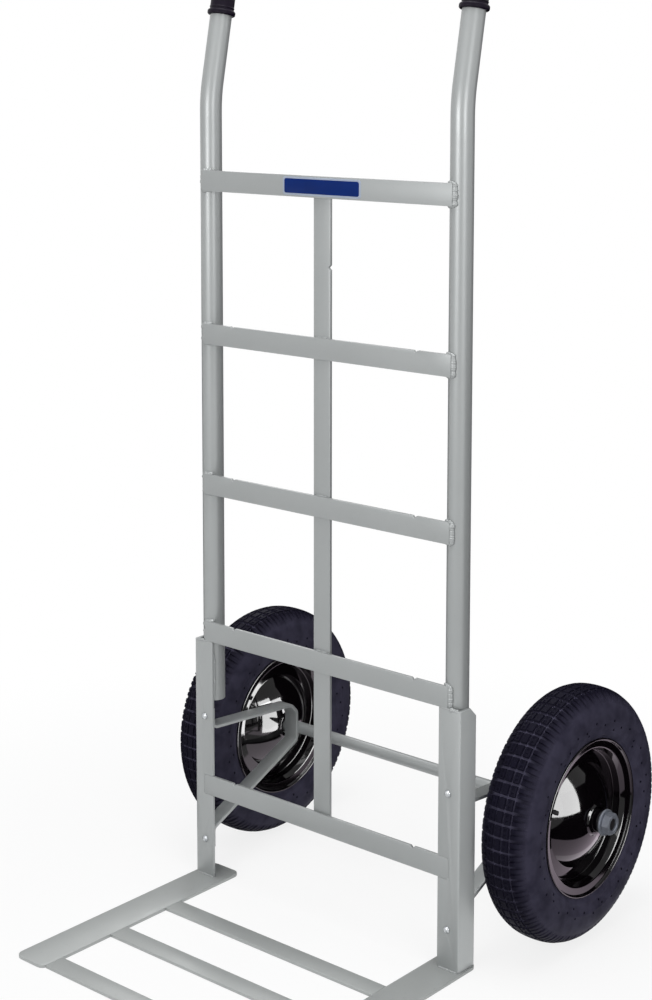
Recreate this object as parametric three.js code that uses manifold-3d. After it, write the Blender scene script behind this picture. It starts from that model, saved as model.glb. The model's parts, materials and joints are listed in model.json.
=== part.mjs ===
// Two-wheel hand truck: a ladder frame of two bent round tubes and flat bars, standing on a flat toe plate,
// with an axle held behind it by two bent strap brackets and two pneumatic wheels on pressed rims.
// Millimetres. +X is the right side seen from the front, +Y is the back, where the wheels are, +Z is up.
// The model is built from the floor up and from the front face of the crossbars back, and the whole
// group is then moved so that its origin lies on the floor under the middle of its overall box.
import * as THREE from "three";
import { mergeVertices } from "three/addons/utils/BufferGeometryUtils.js";
import Module from "manifold-3d";

const wasm = await Module();
wasm.setup();

// Clearances that several pieces share
const weldGap = 0.2; // between a welded piece and its seat
const fitGap = 0.3; // round a bolt, in a bush, behind a bead
const cutOverrun = 5; // how far a cutting body runs past what it cuts

// The two sides of the truck, with the sign of their X
const sides = [
  ["left", -1],
  ["right", 1],
];

// Frame
const frameHalfSpan = 261.5; // middle of the truck to the outer face of a foot angle
const flatThickness = 4.8; // crossbars and centre bar
const flatWidth = 31.8;
const topBarTop = 1136; // top edge of the top crossbar
const barPitch = 237.3;
const lowBarTop = 172.3; // top edge of the crossbar let into the foot angles
const barEndInset = 1; // crossbar ends fall this much short of the tube centre lines
const lowBarLap = 19; // how far the low crossbar reaches into each angle flange
const nickPlace = 177; // middle of the truck to a nick in a crossbar's top edge
const centreNickDrop = 133; // top edge of the top crossbar to the nick in the centre bar's right edge
const nickWidth = 7;
const nickDepth = 4;
const centreBarDrop = 8; // top edge of the top crossbar to the top of the centre bar

// Side tubes and grips
const tubeRadius = 16.85;
const tubeWall = 2.6;
const tubeFoot = 294; // lower end of a side tube
const tubeBend = 1249; // where the centre lines of its two straight legs cross
const tubeBendRadius = 250;
const handleLean = 11 * THREE.MathUtils.DEG2RAD;
const gripStart = 125; // along the leaning leg, from the bend to the grip
const gripLength = 122;
const gripCap = 4;
const gripWall = 1.4;
const gripBeadRise = 3; // the round bead at the mouth, above the grip's own surface
const gripBeadLength = 8;
const gripNeckLength = 4;
const gripRibRise = 0.8;
const gripEndRound = 5;

// Foot angles
const angleLeg = 38;
const angleThickness = 4.8;
const angleOuterRound = 3;
const angleFillet = 3;
const angleToeRound = 1.5;
const angleTopClip = 14; // corner cut off the top of the side flange

// Toe plate
const toeThickness = 4.8;
const toeOverhang = 3.5; // side plate past the angle's outer face
const toeSideWidth = 60;
const toeReach = 374; // front face of the crossbars to the front end of the side plates
const toeHeel = 42; // the same face to their rear end
const toeCornerRound = 12;
const toeBarWidth = 31.8;
const toeBarShares = [
  ["toe_bar_rear", 0.2925],
  ["toe_bar_middle", 0.601],
  ["toe_bar_front", 0.941],
]; // of the toe plate's reach

// Wheels and axle
const tyreRadius = 190;
const wheelOffsetLength = 42.5; // outer face of a foot angle to the middle plane of a wheel
const axlePlace = 220; // front face of the crossbars to the axle
const axleRadius = 9.5;
const threadRadius = 9;
const threadShort = 3; // how far inside the nut the axle ends
const axleChamfer = 1.5;
const hubOuterReach = 60; // wheel plane to the outer end of the hub
const hubInnerReach = 38;
const hubRadius = 17;
const hubWall = 3;
const bushLength = 22;
const bushFlange = 3;
const sidePlay = 0.4;
const wheelWasherRadius = 16; // on the inner side of a wheel
const outerWasherRadius = 19.5;
const outerWasherThickness = 3;
const innerWasherThickness = 2;
const collarRadius = 14;
const axleNutFlats = 28.5;
const axleNutHeight = 12;

// Pressed rim: places are on the middle of the sheet, as radius and distance from the wheel plane
const rimSheet = 1.8;
const lipRadius = 116;
const lipReach = 36.5;
const seatRadius = 101;
const seatReach = 29.5;
const wellRadius = 98;
const wellReach = 12.6;
const creaseRadius = 77.5; // where the dome begins
const creaseReach = 15.8;
const domeRadius = 54.5; // where the tangents at both ends of the dome's arc meet
const domeReach = 37.6;
const domeRound = 96;
const crownRadius = 24;
const crownReach = 44.3;
const hubCollarRise = 3;

// Tyre section
const tyreHalfWidth = 44;
const beadWidth = 13;
const carcassWall = 5.5;
const carcassShares = [
  [0.4, 1],
  [0.84, 0.85],
  [0.97, 0.7],
  [1, 0.54],
  [0.93, 0.31],
]; // half width and height of the outer wall, from the crown down
const innerShares = [
  [1, 0.53],
  [0.45, 1],
]; // the same for the inner wall, from the side up
const innerTubeShare = 0.8; // width of the inner tube in the width between the tyre's inner walls
const tubeSkin = 2;
const innerTubeGap = 1.5;

// Tread
const lugDepth = 4;
const lugRoot = 3; // how deep a lug is rooted in the carcass
const lugLength = 36;
const centreLugFrom = 1.5; // the two centre rows, as distances from the wheel plane
const centreLugTo = 17.5;
const shoulderLugFrom = 20.5;
const shoulderLugTo = 36.9;

// Valve
const valveRadius = 4;
const valveTipRadius = 2.7;
const valvePlace = 95; // radius and reach of a point on its axis
const valveReach = 6.5;
const valveBelow = 19;
const valveAbove = 28;
const valveTip = 8;
const valveLean = 45 * THREE.MathUtils.DEG2RAD;
const valveSweep = 200 * THREE.MathUtils.DEG2RAD; // round the wheel from the back

// Axle brackets and their bolts
const strapWidth = 25.4;
const strapThickness = 5;
const strapBend = 8; // bend radius on the middle of the strap
const noseAbove = 32; // flat nose above and below the axle
const noseBelow = 17;
const noseClip = 14;
const upperBoltHeight = 268;
const lowerBoltHeight = 65;
const tabPast = 13; // strap past the bolt
const tabToArm = 18; // bolt to the bend of the arm
const boltRadius = 3;
const boltHeadRadius = 5.3;
const boltHeadHeight = 3.3;
const boltHeadShares = [
  [0, 1],
  [0.55, 0.86],
  [0.9, 0.42],
  [1, 0],
]; // radius and height of its domed head, from the top down
const boltPast = 2.5;
const boltNutFlats = 10;
const boltNutHeight = 5;
const boltWasherRadius = 6;
const boltWasherThickness = 1.6;

// How finely round shapes are divided
const tubeSides = 16;
const wheelSides = 20; // also the number of tread pitches; a multiple of 4 puts a flat on the floor
const shaftSides = 16;
const smallSides = 8;

// Values worked out from the sizes above
const frameBack = Math.max(flatThickness, angleThickness);
const tubeX = frameHalfSpan - angleThickness - weldGap - tubeRadius;
const tubeY = frameBack + weldGap + tubeRadius;
const barHalfLength = tubeX - barEndInset;
const barNames = ["crossbar_top", "crossbar_second", "crossbar_third", "crossbar_fourth"];
const fourthBarBottom = topBarTop - barPitch * (barNames.length - 1) - flatWidth;
const lowBarBottom = lowBarTop - flatWidth;
const toeHalfSpan = frameHalfSpan + toeOverhang;
const angleFoot = toeThickness + weldGap;
const angleTop = fourthBarBottom - weldGap;
const strapX = frameHalfSpan - angleThickness - angleFillet - weldGap - strapWidth / 2;
const strapTabY = angleThickness + weldGap + strapThickness / 2;
const noseY = axlePlace - axleRadius - weldGap - strapThickness / 2;
const wheelPlane = frameHalfSpan + wheelOffsetLength; // middle of the truck to the middle of a wheel
const hubOuterEnd = wheelPlane + hubOuterReach;
const hubInnerEnd = wheelPlane - hubInnerReach;
const overallBack = axlePlace + tyreRadius;
const overallMiddleY = (overallBack - toeReach) / 2;

const framePaint = new THREE.MeshStandardMaterial({ color: 0xa3a6a6, roughness: 0.42, metalness: 0.35 });
const toePaint = new THREE.MeshStandardMaterial({ color: 0xadb0af, roughness: 0.45, metalness: 0.3 });
const zinc = new THREE.MeshStandardMaterial({ color: 0xc2c4c6, roughness: 0.3, metalness: 0.9 });
const rimPaint = new THREE.MeshStandardMaterial({ color: 0x0d0b0d, roughness: 0.1, metalness: 0.2 });
const tyreRubber = new THREE.MeshStandardMaterial({ color: 0x22202b, roughness: 0.8, metalness: 0 });
const tubeRubber = new THREE.MeshStandardMaterial({ color: 0x151517, roughness: 0.6, metalness: 0 });
const gripPlastic = new THREE.MeshStandardMaterial({ color: 0x2b2430, roughness: 0.45, metalness: 0 });
const bushNylon = new THREE.MeshStandardMaterial({ color: 0x26262a, roughness: 0.5, metalness: 0 });

const truck = new THREE.Group();
truck.position.y = -overallMiddleY;

// Solids for cutting and joining

// A geometry as a manifold-3d solid, without the slivers that a lathe leaves on its axis.
function solidFrom(geometry) {
  const bare = geometry.clone();
  bare.deleteAttribute("normal");
  bare.deleteAttribute("uv");
  const merged = mergeVertices(bare, 1e-4);
  const corners = merged.index.array;
  const kept = [];
  for (let i = 0; i < corners.length; i += 3) {
    const [a, b, c] = [corners[i], corners[i + 1], corners[i + 2]];
    if (a !== b && b !== c && c !== a) kept.push(a, b, c);
  }
  const vertProperties = merged.attributes.position.array;
  return new wasm.Manifold(new wasm.Mesh({ numProp: 3, vertProperties, triVerts: new Uint32Array(kept) }));
}

function geometryFrom(solid) {
  const mesh = solid.getMesh();
  const geometry = new THREE.BufferGeometry();
  geometry.setAttribute("position", new THREE.BufferAttribute(mesh.vertProperties, mesh.numProp));
  geometry.setIndex(new THREE.BufferAttribute(mesh.triVerts, 1));
  const flat = geometry.toNonIndexed();
  flat.computeVertexNormals();
  return flat;
}

function cut(geometry, ...cutters) {
  const left = cutters.reduce((solid, cutter) => solid.subtract(solidFrom(cutter)), solidFrom(geometry));
  return geometryFrom(left);
}

function addPiece(parent, name, geometry, material) {
  const mesh = new THREE.Mesh(geometry, material);
  mesh.name = name;
  parent.add(mesh);
  return mesh;
}

// Outlines and paths in a plane

// Points and unit tangents along a line of corners, each inner corner rounded by an arc of its own radius.
// A corner of radius 0 stays sharp, and its stretch says how much wider a sheet is across its mitre.
function roundedPath(corners, radii, stepsPerBend) {
  const stations = [];
  const direction = (from, to) => to.clone().sub(from).normalize();
  stations.push({ point: corners[0].clone(), tangent: direction(corners[0], corners[1]), stretch: 1 });
  for (let i = 1; i < corners.length - 1; i++) {
    const before = direction(corners[i - 1], corners[i]);
    const after = direction(corners[i], corners[i + 1]);
    const turn = Math.atan2(before.cross(after), before.dot(after));
    if (radii[i] === 0) {
      const tangent = before.clone().add(after).normalize();
      stations.push({ point: corners[i].clone(), tangent, stretch: 1 / Math.cos(turn / 2) });
      continue;
    }
    const setback = radii[i] * Math.tan(Math.abs(turn) / 2);
    const start = corners[i].clone().addScaledVector(before, -setback);
    const inward = new THREE.Vector2(-before.y, before.x).multiplyScalar(Math.sign(turn));
    const centre = start.clone().addScaledVector(inward, radii[i]);
    const steps = stepsPerBend[i];
    for (let k = 0; k <= steps; k++) {
      const angle = (turn * k) / steps;
      const point = start.clone().rotateAround(centre, angle);
      const tangent = before.clone().rotateAround(new THREE.Vector2(), angle);
      stations.push({ point, tangent, stretch: 1 });
    }
  }
  const last = corners.length - 1;
  const endTangent = direction(corners[last - 1], corners[last]);
  stations.push({ point: corners[last].clone(), tangent: endTangent, stretch: 1 });
  return stations;
}

// The closed outline of a sheet of even thickness that follows such a path.
function sheetOutline(stations, thickness) {
  const side = (offset) =>
    stations.map(({ point, tangent, stretch }) =>
      new THREE.Vector2(-tangent.y, tangent.x).multiplyScalar(offset * stretch).add(point),
    );
  return [...side(-thickness / 2), ...side(thickness / 2).reverse()];
}

// Revolves a closed outline, given as radius and height, round the Y axis.
function revolve(outline, sides) {
  const points = outline.map((point) => point.clone());
  if (THREE.ShapeUtils.area(points) < 0) points.reverse();
  points.push(points[0].clone());
  return new THREE.LatheGeometry(points, sides);
}

// The same for the round pieces of a wheel, turned so that a flat, not a corner, meets the floor.
function revolveWheel(outline) {
  const geometry = revolve(outline, wheelSides);
  geometry.rotateY(Math.PI / wheelSides);
  return geometry;
}

function ring(innerRadius, outerRadius, bottom, top, sides) {
  const outline = [
    new THREE.Vector2(innerRadius, bottom),
    new THREE.Vector2(outerRadius, bottom),
    new THREE.Vector2(outerRadius, top),
    new THREE.Vector2(innerRadius, top),
  ];
  return revolve(outline, sides);
}

// A plate standing in the XZ plane: the shape's Y becomes height, and it is as thick as given along +Y.
function uprightPlate(shape, thickness) {
  const geometry = new THREE.ExtrudeGeometry(shape, { depth: thickness, bevelEnabled: false });
  geometry.rotateX(Math.PI / 2);
  geometry.translate(0, thickness, 0);
  return geometry;
}

function boxBetween(low, high) {
  const size = high.clone().sub(low);
  const geometry = new THREE.BoxGeometry(size.x, size.y, size.z);
  geometry.translate(low.x + size.x / 2, low.y + size.y / 2, low.z + size.z / 2);
  return geometry;
}

// A cylinder along Y between two places, for bolt holes.
function boreAlongY(x, z, radius, from, to) {
  const geometry = new THREE.CylinderGeometry(radius, radius, to - from, smallSides);
  geometry.translate(x, (from + to) / 2, z);
  return geometry;
}

function hexagonRing(flats, bore, height, boreSides) {
  const shape = new THREE.Shape();
  const corner = flats / 2 / Math.cos(Math.PI / 6);
  for (let i = 0; i < 6; i++) {
    const angle = (i * Math.PI) / 3;
    if (i === 0) shape.moveTo(corner, 0);
    else shape.lineTo(corner * Math.cos(angle), corner * Math.sin(angle));
  }
  shape.closePath();
  const hole = new THREE.Path();
  hole.absarc(0, 0, bore, 0, 2 * Math.PI, true);
  shape.holes.push(hole);
  const curveSegments = boreSides / 2;
  return new THREE.ExtrudeGeometry(shape, { depth: height, bevelEnabled: false, curveSegments });
}

// Flat crossbars and the centre bar

function crossbarShape(halfLength, nicked) {
  const shape = new THREE.Shape();
  shape.moveTo(-halfLength, 0);
  shape.lineTo(halfLength, 0);
  shape.lineTo(halfLength, flatWidth);
  if (nicked) {
    for (const place of [nickPlace, -nickPlace]) {
      shape.lineTo(place + nickWidth / 2, flatWidth);
      shape.lineTo(place, flatWidth - nickDepth);
      shape.lineTo(place - nickWidth / 2, flatWidth);
    }
  }
  shape.lineTo(-halfLength, flatWidth);
  shape.closePath();
  return shape;
}

barNames.forEach((name, i) => {
  const plate = uprightPlate(crossbarShape(barHalfLength, i > 0), flatThickness);
  const bar = addPiece(truck, name, plate, framePaint);
  bar.position.z = topBarTop - flatWidth - i * barPitch;
});

const lowBarHalfLength = frameHalfSpan - angleLeg + lowBarLap;
const lowBar = uprightPlate(crossbarShape(lowBarHalfLength, true), flatThickness);
addPiece(truck, "crossbar_low", lowBar, framePaint).position.z = lowBarBottom;

const centreBarShape = new THREE.Shape();
centreBarShape.moveTo(-flatWidth / 2, lowBarBottom);
centreBarShape.lineTo(flatWidth / 2, lowBarBottom);
const centreNickHeight = topBarTop - centreNickDrop;
centreBarShape.lineTo(flatWidth / 2, centreNickHeight - nickWidth / 2);
centreBarShape.lineTo(flatWidth / 2 - nickDepth, centreNickHeight);
centreBarShape.lineTo(flatWidth / 2, centreNickHeight + nickWidth / 2);
centreBarShape.lineTo(flatWidth / 2, topBarTop - centreBarDrop);
centreBarShape.lineTo(-flatWidth / 2, topBarTop - centreBarDrop);
centreBarShape.closePath();
const centreBar = addPiece(truck, "centre_bar", uprightPlate(centreBarShape, flatThickness), framePaint);
centreBar.position.y = flatThickness + weldGap;

// Side tubes and grips

// A three-dimensional path that gives a sweep exactly the stations of a path in the YZ plane.
class StationPath extends THREE.Curve {
  constructor(stations) {
    super();
    this.stations = stations;
  }
  stationAt(share) {
    return this.stations[Math.round(share * (this.stations.length - 1))];
  }
  getPoint(share) {
    const { point } = this.stationAt(share);
    return new THREE.Vector3(0, point.x, point.y);
  }
  getPointAt(share) {
    return this.getPoint(share);
  }
  getTangentAt(share) {
    const { tangent } = this.stationAt(share);
    return new THREE.Vector3(0, tangent.x, tangent.y);
  }
}

const tubeEnd = gripStart + gripLength - gripCap - fitGap;
const leanDirection = new THREE.Vector2(Math.sin(handleLean), Math.cos(handleLean));
const tubeCorner = new THREE.Vector2(tubeY, tubeBend);
const tubeCorners = [
  new THREE.Vector2(tubeY, tubeFoot),
  tubeCorner,
  tubeCorner.clone().addScaledVector(leanDirection, tubeEnd),
];

function sideTube() {
  const stations = roundedPath(tubeCorners, [0, tubeBendRadius, 0], [0, 3, 0]);
  const section = new THREE.Shape();
  section.absarc(0, 0, tubeRadius, 0, 2 * Math.PI, false);
  const bore = new THREE.Path();
  bore.absarc(0, 0, tubeRadius - tubeWall, 0, 2 * Math.PI, true);
  section.holes.push(bore);
  return new THREE.ExtrudeGeometry(section, {
    steps: stations.length - 1,
    curveSegments: tubeSides / 2,
    extrudePath: new StationPath(stations),
  });
}

// A sleeve with a thick bead and a rib at its lower end and a closed, rounded top; Y runs up the handle.
function grip() {
  const bore = tubeRadius + fitGap;
  const body = bore + gripWall;
  const bead = body + gripBeadRise;
  const shoulder = gripBeadRise / 2;
  const neck = gripBeadLength + gripNeckLength;
  const roundMiddle = gripEndRound * (1 - Math.SQRT1_2);
  const outline = [
    new THREE.Vector2(bore, 0),
    new THREE.Vector2(bead - shoulder, 0),
    new THREE.Vector2(bead, shoulder),
    new THREE.Vector2(bead, gripBeadLength - shoulder),
    new THREE.Vector2(bead - shoulder, gripBeadLength),
    new THREE.Vector2(body, gripBeadLength),
    new THREE.Vector2(body, neck - gripRibRise),
    new THREE.Vector2(body + gripRibRise, neck),
    new THREE.Vector2(body, neck + gripRibRise),
    new THREE.Vector2(body, gripLength - gripEndRound),
    new THREE.Vector2(body - roundMiddle, gripLength - roundMiddle),
    new THREE.Vector2(body - gripEndRound, gripLength),
    new THREE.Vector2(0, gripLength),
    new THREE.Vector2(0, gripLength - gripCap),
    new THREE.Vector2(bore, gripLength - gripCap),
  ];
  return geometryFrom(solidFrom(revolve(outline, tubeSides)));
}

for (const [sideName, side] of sides) {
  const tube = addPiece(truck, sideName + "_side_tube", sideTube(), framePaint);
  tube.position.x = side * tubeX;
  const handle = new THREE.Group();
  handle.position.set(side * tubeX, tubeY, tubeBend);
  handle.rotation.x = Math.PI / 2 - handleLean;
  truck.add(handle);
  addPiece(handle, sideName + "_grip", grip(), gripPlastic).position.y = gripStart;
}

// Foot angles, notched for the low crossbar and drilled for the bracket bolts

function angleOutline(side) {
  const outer = frameHalfSpan;
  const corners = [
    [outer - angleLeg, 0, 0],
    [outer, 0, angleOuterRound],
    [outer, angleLeg, 0],
    [outer - angleThickness, angleLeg, angleToeRound],
    [outer - angleThickness, angleThickness, angleFillet],
    [outer - angleLeg, angleThickness, angleToeRound],
    [outer - angleLeg, 0, 0],
  ];
  const points = corners.map(([x, y]) => new THREE.Vector2(x * side, y));
  const radii = corners.map((corner) => corner[2]);
  const steps = corners.map(() => 2);
  return roundedPath(points, radii, steps).map(({ point }) => point);
}

function footAngle(side) {
  const shape = new THREE.Shape(angleOutline(side).slice(0, -1));
  const height = angleTop - angleFoot;
  const bar = new THREE.ExtrudeGeometry(shape, { depth: height, bevelEnabled: false });
  bar.translate(0, 0, angleFoot);
  const notchInner = frameHalfSpan - angleLeg - cutOverrun;
  const notchOuter = lowBarHalfLength + weldGap;
  const notch = boxBetween(
    new THREE.Vector3(Math.min(side * notchInner, side * notchOuter), -cutOverrun, lowBarBottom - weldGap),
    new THREE.Vector3(
      Math.max(side * notchInner, side * notchOuter),
      angleThickness + cutOverrun,
      lowBarTop + weldGap,
    ),
  );
  const clipShape = new THREE.Shape();
  clipShape.moveTo(angleLeg + cutOverrun, angleTop + cutOverrun);
  clipShape.lineTo(angleLeg - angleTopClip - cutOverrun, angleTop + cutOverrun);
  clipShape.lineTo(angleLeg + cutOverrun, angleTop - angleTopClip - cutOverrun);
  clipShape.closePath();
  const clip = new THREE.ExtrudeGeometry(clipShape, { depth: 2 * frameHalfSpan, bevelEnabled: false });
  clip.applyMatrix4(new THREE.Matrix4().set(0, 0, 1, -frameHalfSpan, 1, 0, 0, 0, 0, 1, 0, 0, 0, 0, 0, 1));
  clip.translate(side * frameHalfSpan, 0, 0);
  const holes = [upperBoltHeight, lowerBoltHeight].map((z) =>
    boreAlongY(side * strapX, z, boltRadius + fitGap, -cutOverrun, angleThickness + cutOverrun),
  );
  return cut(bar, notch, clip, ...holes);
}

// Toe plate: two side plates with rounded corners, and three bars between them

function toeSidePlate(side) {
  const inner = toeHalfSpan - toeSideWidth;
  const corners = [
    [inner, 0],
    [inner, -toeReach],
    [toeHalfSpan, -toeReach],
    [toeHalfSpan, toeHeel],
    [inner, toeHeel],
    [inner, 0],
  ].map(([x, y]) => new THREE.Vector2(side * x, y));
  const radii = corners.map(() => toeCornerRound);
  const steps = corners.map(() => 4);
  const outline = roundedPath(corners, radii, steps).map(({ point }) => point);
  return new THREE.ExtrudeGeometry(new THREE.Shape(outline.slice(0, -1)), {
    depth: toeThickness,
    bevelEnabled: false,
  });
}

for (const [name, share] of toeBarShares) {
  const halfLength = toeHalfSpan - toeSideWidth - weldGap;
  const middle = -share * toeReach;
  const bar = boxBetween(
    new THREE.Vector3(-halfLength, middle - toeBarWidth / 2, 0),
    new THREE.Vector3(halfLength, middle + toeBarWidth / 2, toeThickness),
  );
  addPiece(truck, name, bar, toePaint);
}

// Axle brackets: one strap from the upper bolt back to a flat nose at the axle and down to the lower bolt

function bracketPath() {
  const axleHeight = tyreRadius;
  const corners = [
    [strapTabY, upperBoltHeight + tabPast],
    [strapTabY, upperBoltHeight - tabToArm],
    [noseY - noseClip, axleHeight + noseAbove + noseClip],
    [noseY, axleHeight + noseAbove],
    [noseY, axleHeight - noseBelow],
    [strapTabY, lowerBoltHeight + tabToArm],
    [strapTabY, lowerBoltHeight - tabPast],
  ].map(([y, z]) => new THREE.Vector2(y, z));
  const radii = corners.map(() => strapBend);
  const steps = corners.map(() => 2);
  return roundedPath(corners, radii, steps);
}

function axleBracket(side) {
  const shape = new THREE.Shape(sheetOutline(bracketPath(), strapThickness));
  const strap = new THREE.ExtrudeGeometry(shape, { depth: strapWidth, bevelEnabled: false });
  // The shape lies in the YZ plane and is as wide along X as the strap.
  strap.applyMatrix4(new THREE.Matrix4().set(0, 0, 1, -strapWidth / 2, 1, 0, 0, 0, 0, 1, 0, 0, 0, 0, 0, 1));
  strap.translate(side * strapX, 0, 0);
  const from = strapTabY - strapThickness;
  const to = strapTabY + strapThickness;
  const holes = [upperBoltHeight, lowerBoltHeight].map((z) =>
    boreAlongY(side * strapX, z, boltRadius + fitGap, from, to),
  );
  return cut(strap, ...holes);
}

// A round-headed bolt along +Y. Its head rests on the plane y = 0, its washer and nut behind the strap.
const stackDepth = strapTabY + strapThickness / 2;

function bracketBolt() {
  const length = stackDepth + boltWasherThickness + boltNutHeight + boltPast;
  const head = boltHeadShares.map(
    ([wide, high]) => new THREE.Vector2(boltHeadRadius * wide, -boltHeadHeight * high - weldGap),
  );
  const profile = [
    ...head,
    new THREE.Vector2(boltRadius, -weldGap),
    new THREE.Vector2(boltRadius, length),
    new THREE.Vector2(0, length),
  ];
  return new THREE.LatheGeometry(profile, smallSides);
}

function addBracketBolt(name, side, height) {
  const stack = new THREE.Group();
  stack.position.set(side * strapX, 0, height);
  truck.add(stack);
  addPiece(stack, name + "_bolt", bracketBolt(), zinc);
  const washerStart = stackDepth + weldGap;
  const washerEnd = washerStart + boltWasherThickness;
  const washer = ring(boltRadius + fitGap, boltWasherRadius, washerStart, washerEnd, smallSides);
  addPiece(stack, name + "_washer", washer, zinc);
  const nut = hexagonRing(boltNutFlats, boltRadius + fitGap, boltNutHeight, smallSides);
  nut.rotateX(-Math.PI / 2);
  nut.translate(0, washerEnd + weldGap, 0);
  addPiece(stack, name + "_nut", nut, zinc);
}

// Wheels: every piece is turned round the Y axis, whose +Y end is the outer side of the wheel

function rimCorners() {
  return [
    [lipRadius, lipReach, 0],
    [seatRadius, seatReach, 0],
    [wellRadius, wellReach, 0],
    [creaseRadius, creaseReach, 0],
    [domeRadius, domeReach, domeRound],
    [crownRadius, crownReach, 0],
    [hubRadius + fitGap + rimSheet / 2, crownReach + hubCollarRise, 0],
  ];
}

// The pressed half disc, from its lip over the bead seat, the well, the crease and the dome to the hub. Under
// the well it carries half of the barrel that closes the tyre's inside; the halves meet in the wheel plane.
function rimHalf() {
  const corners = rimCorners();
  const points = corners.map(([radius, reach]) => new THREE.Vector2(radius, reach));
  const radii = corners.map((corner) => corner[2]);
  const steps = [0, 0, 0, 0, 3, 0, 0];
  const disc = revolveWheel(sheetOutline(roundedPath(points, radii, steps), rimSheet));
  const inside = wellRadius - rimSheet / 2;
  const outside = wellRadius + rimSheet / 2;
  const barrel = revolveWheel([
    new THREE.Vector2(inside, weldGap / 2),
    new THREE.Vector2(outside, weldGap / 2),
    new THREE.Vector2(outside, wellReach),
    new THREE.Vector2(inside, wellReach),
  ]);
  return geometryFrom(solidFrom(disc).add(solidFrom(barrel)));
}

const beadSeat = seatRadius + rimSheet / 2 + fitGap;
const heel = beadSeat + rimSheet;
const flangeTop = lipRadius + rimSheet;

// Where the tyre lies against the flange of the rim, at a given radius.
function flangeReach(radius) {
  const slope = (lipReach - seatReach) / (lipRadius - seatRadius);
  return seatReach + (radius - seatRadius) * slope - rimSheet / 2 - fitGap;
}

// One half of the tyre's section, from the crown down the outer wall and back up the inner wall.
function tyreHalfSection() {
  const height = tyreRadius - lugDepth - beadSeat;
  const outer = carcassShares.map(
    ([wide, high]) => new THREE.Vector2(beadSeat + high * height, wide * tyreHalfWidth),
  );
  const bead = [
    new THREE.Vector2(flangeTop, flangeReach(flangeTop)),
    new THREE.Vector2(heel, flangeReach(heel)),
    new THREE.Vector2(beadSeat, flangeReach(heel) - rimSheet),
  ];
  return [...outer, ...bead, ...innerWall()];
}

// The inner wall of that half, from the bead's toe over its shoulder and up to the crown.
function innerWall() {
  const height = tyreRadius - lugDepth - beadSeat - carcassWall;
  const width = tyreHalfWidth - carcassWall;
  return [
    new THREE.Vector2(beadSeat, flangeReach(heel) - beadWidth),
    new THREE.Vector2(flangeTop, flangeReach(heel) - beadWidth / 2),
    ...innerShares.map(([wide, high]) => new THREE.Vector2(beadSeat + high * height, wide * width)),
  ];
}

// Radius of the bare carcass at a distance from the wheel plane.
function carcassRadius(reach) {
  const height = tyreRadius - lugDepth - beadSeat;
  const share = Math.abs(reach) / tyreHalfWidth;
  const next = Math.max(carcassShares.findIndex(([wide]) => wide > share), 1);
  const [wideFrom, highFrom] = carcassShares[next - 1];
  const [wideTo, highTo] = carcassShares[next];
  const along = Math.max((share - wideFrom) / (wideTo - wideFrom), 0);
  return beadSeat + THREE.MathUtils.lerp(highFrom, highTo, along) * height;
}

// A tread block between two distances from the wheel plane, at one turn of the tread round the wheel.
// Its foot and its top follow the carcass, with a corner at each bend of the carcass between its two sides.
function lug(from, to, turn) {
  const bends = carcassShares.flatMap(([wide]) => [-wide * tyreHalfWidth, wide * tyreHalfWidth]);
  const between = bends.filter((reach) => reach > from && reach < to).sort((a, b) => a - b);
  const reaches = [from, ...between, to];
  const foot = reaches.map((reach) => new THREE.Vector2(carcassRadius(reach) - lugRoot, reach));
  const top = reaches.map((reach) => new THREE.Vector2(carcassRadius(reach) + lugDepth, reach));
  const shape = new THREE.Shape([...foot, ...top.reverse()]);
  const block = new THREE.ExtrudeGeometry(shape, { depth: lugLength, bevelEnabled: false });
  block.translate(0, 0, -lugLength / 2);
  block.rotateY(turn);
  return solidFrom(block);
}

// The carcass with two centre rows and two shoulder rows of tread blocks, one of each on every flat.
function tyre() {
  const half = tyreHalfSection();
  const mirrored = [...half].reverse().map((point) => new THREE.Vector2(point.x, -point.y));
  const carcass = solidFrom(revolveWheel([...half, ...mirrored]));
  const blocks = [];
  for (let i = 0; i < wheelSides; i++) {
    const turn = (2 * Math.PI * i) / wheelSides;
    for (const [from, to] of [[centreLugFrom, centreLugTo], [shoulderLugFrom, shoulderLugTo]]) {
      blocks.push(lug(from, to, turn));
      blocks.push(lug(-to, -from, turn));
    }
  }
  return geometryFrom(blocks.reduce((solid, block) => solid.add(block), carcass));
}

function valveMatrix(side) {
  const around = side > 0 ? Math.PI - valveSweep : valveSweep;
  const lean = new THREE.Matrix4().makeRotationZ(valveLean);
  const place = new THREE.Matrix4().makeTranslation(valvePlace, valveReach, 0);
  const sweep = new THREE.Matrix4().makeRotationY(around);
  return sweep.multiply(place).multiply(lean);
}

function valveStem(side) {
  const profile = [
    new THREE.Vector2(0, -valveBelow),
    new THREE.Vector2(valveRadius, -valveBelow),
    new THREE.Vector2(valveRadius, valveAbove - valveTip),
    new THREE.Vector2(valveTipRadius, valveAbove - valveTip + valveRadius - valveTipRadius),
    new THREE.Vector2(valveTipRadius, valveAbove),
    new THREE.Vector2(0, valveAbove),
  ];
  const stem = new THREE.LatheGeometry(profile, smallSides);
  stem.applyMatrix4(valveMatrix(side));
  return stem;
}

function valveBore(side) {
  const radius = valveRadius + fitGap;
  const base = -valveBelow - fitGap;
  const bore = new THREE.CylinderGeometry(radius, radius, valveAbove - base, smallSides);
  bore.translate(0, (valveAbove + base) / 2, 0);
  bore.applyMatrix4(valveMatrix(side));
  return bore;
}

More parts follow.
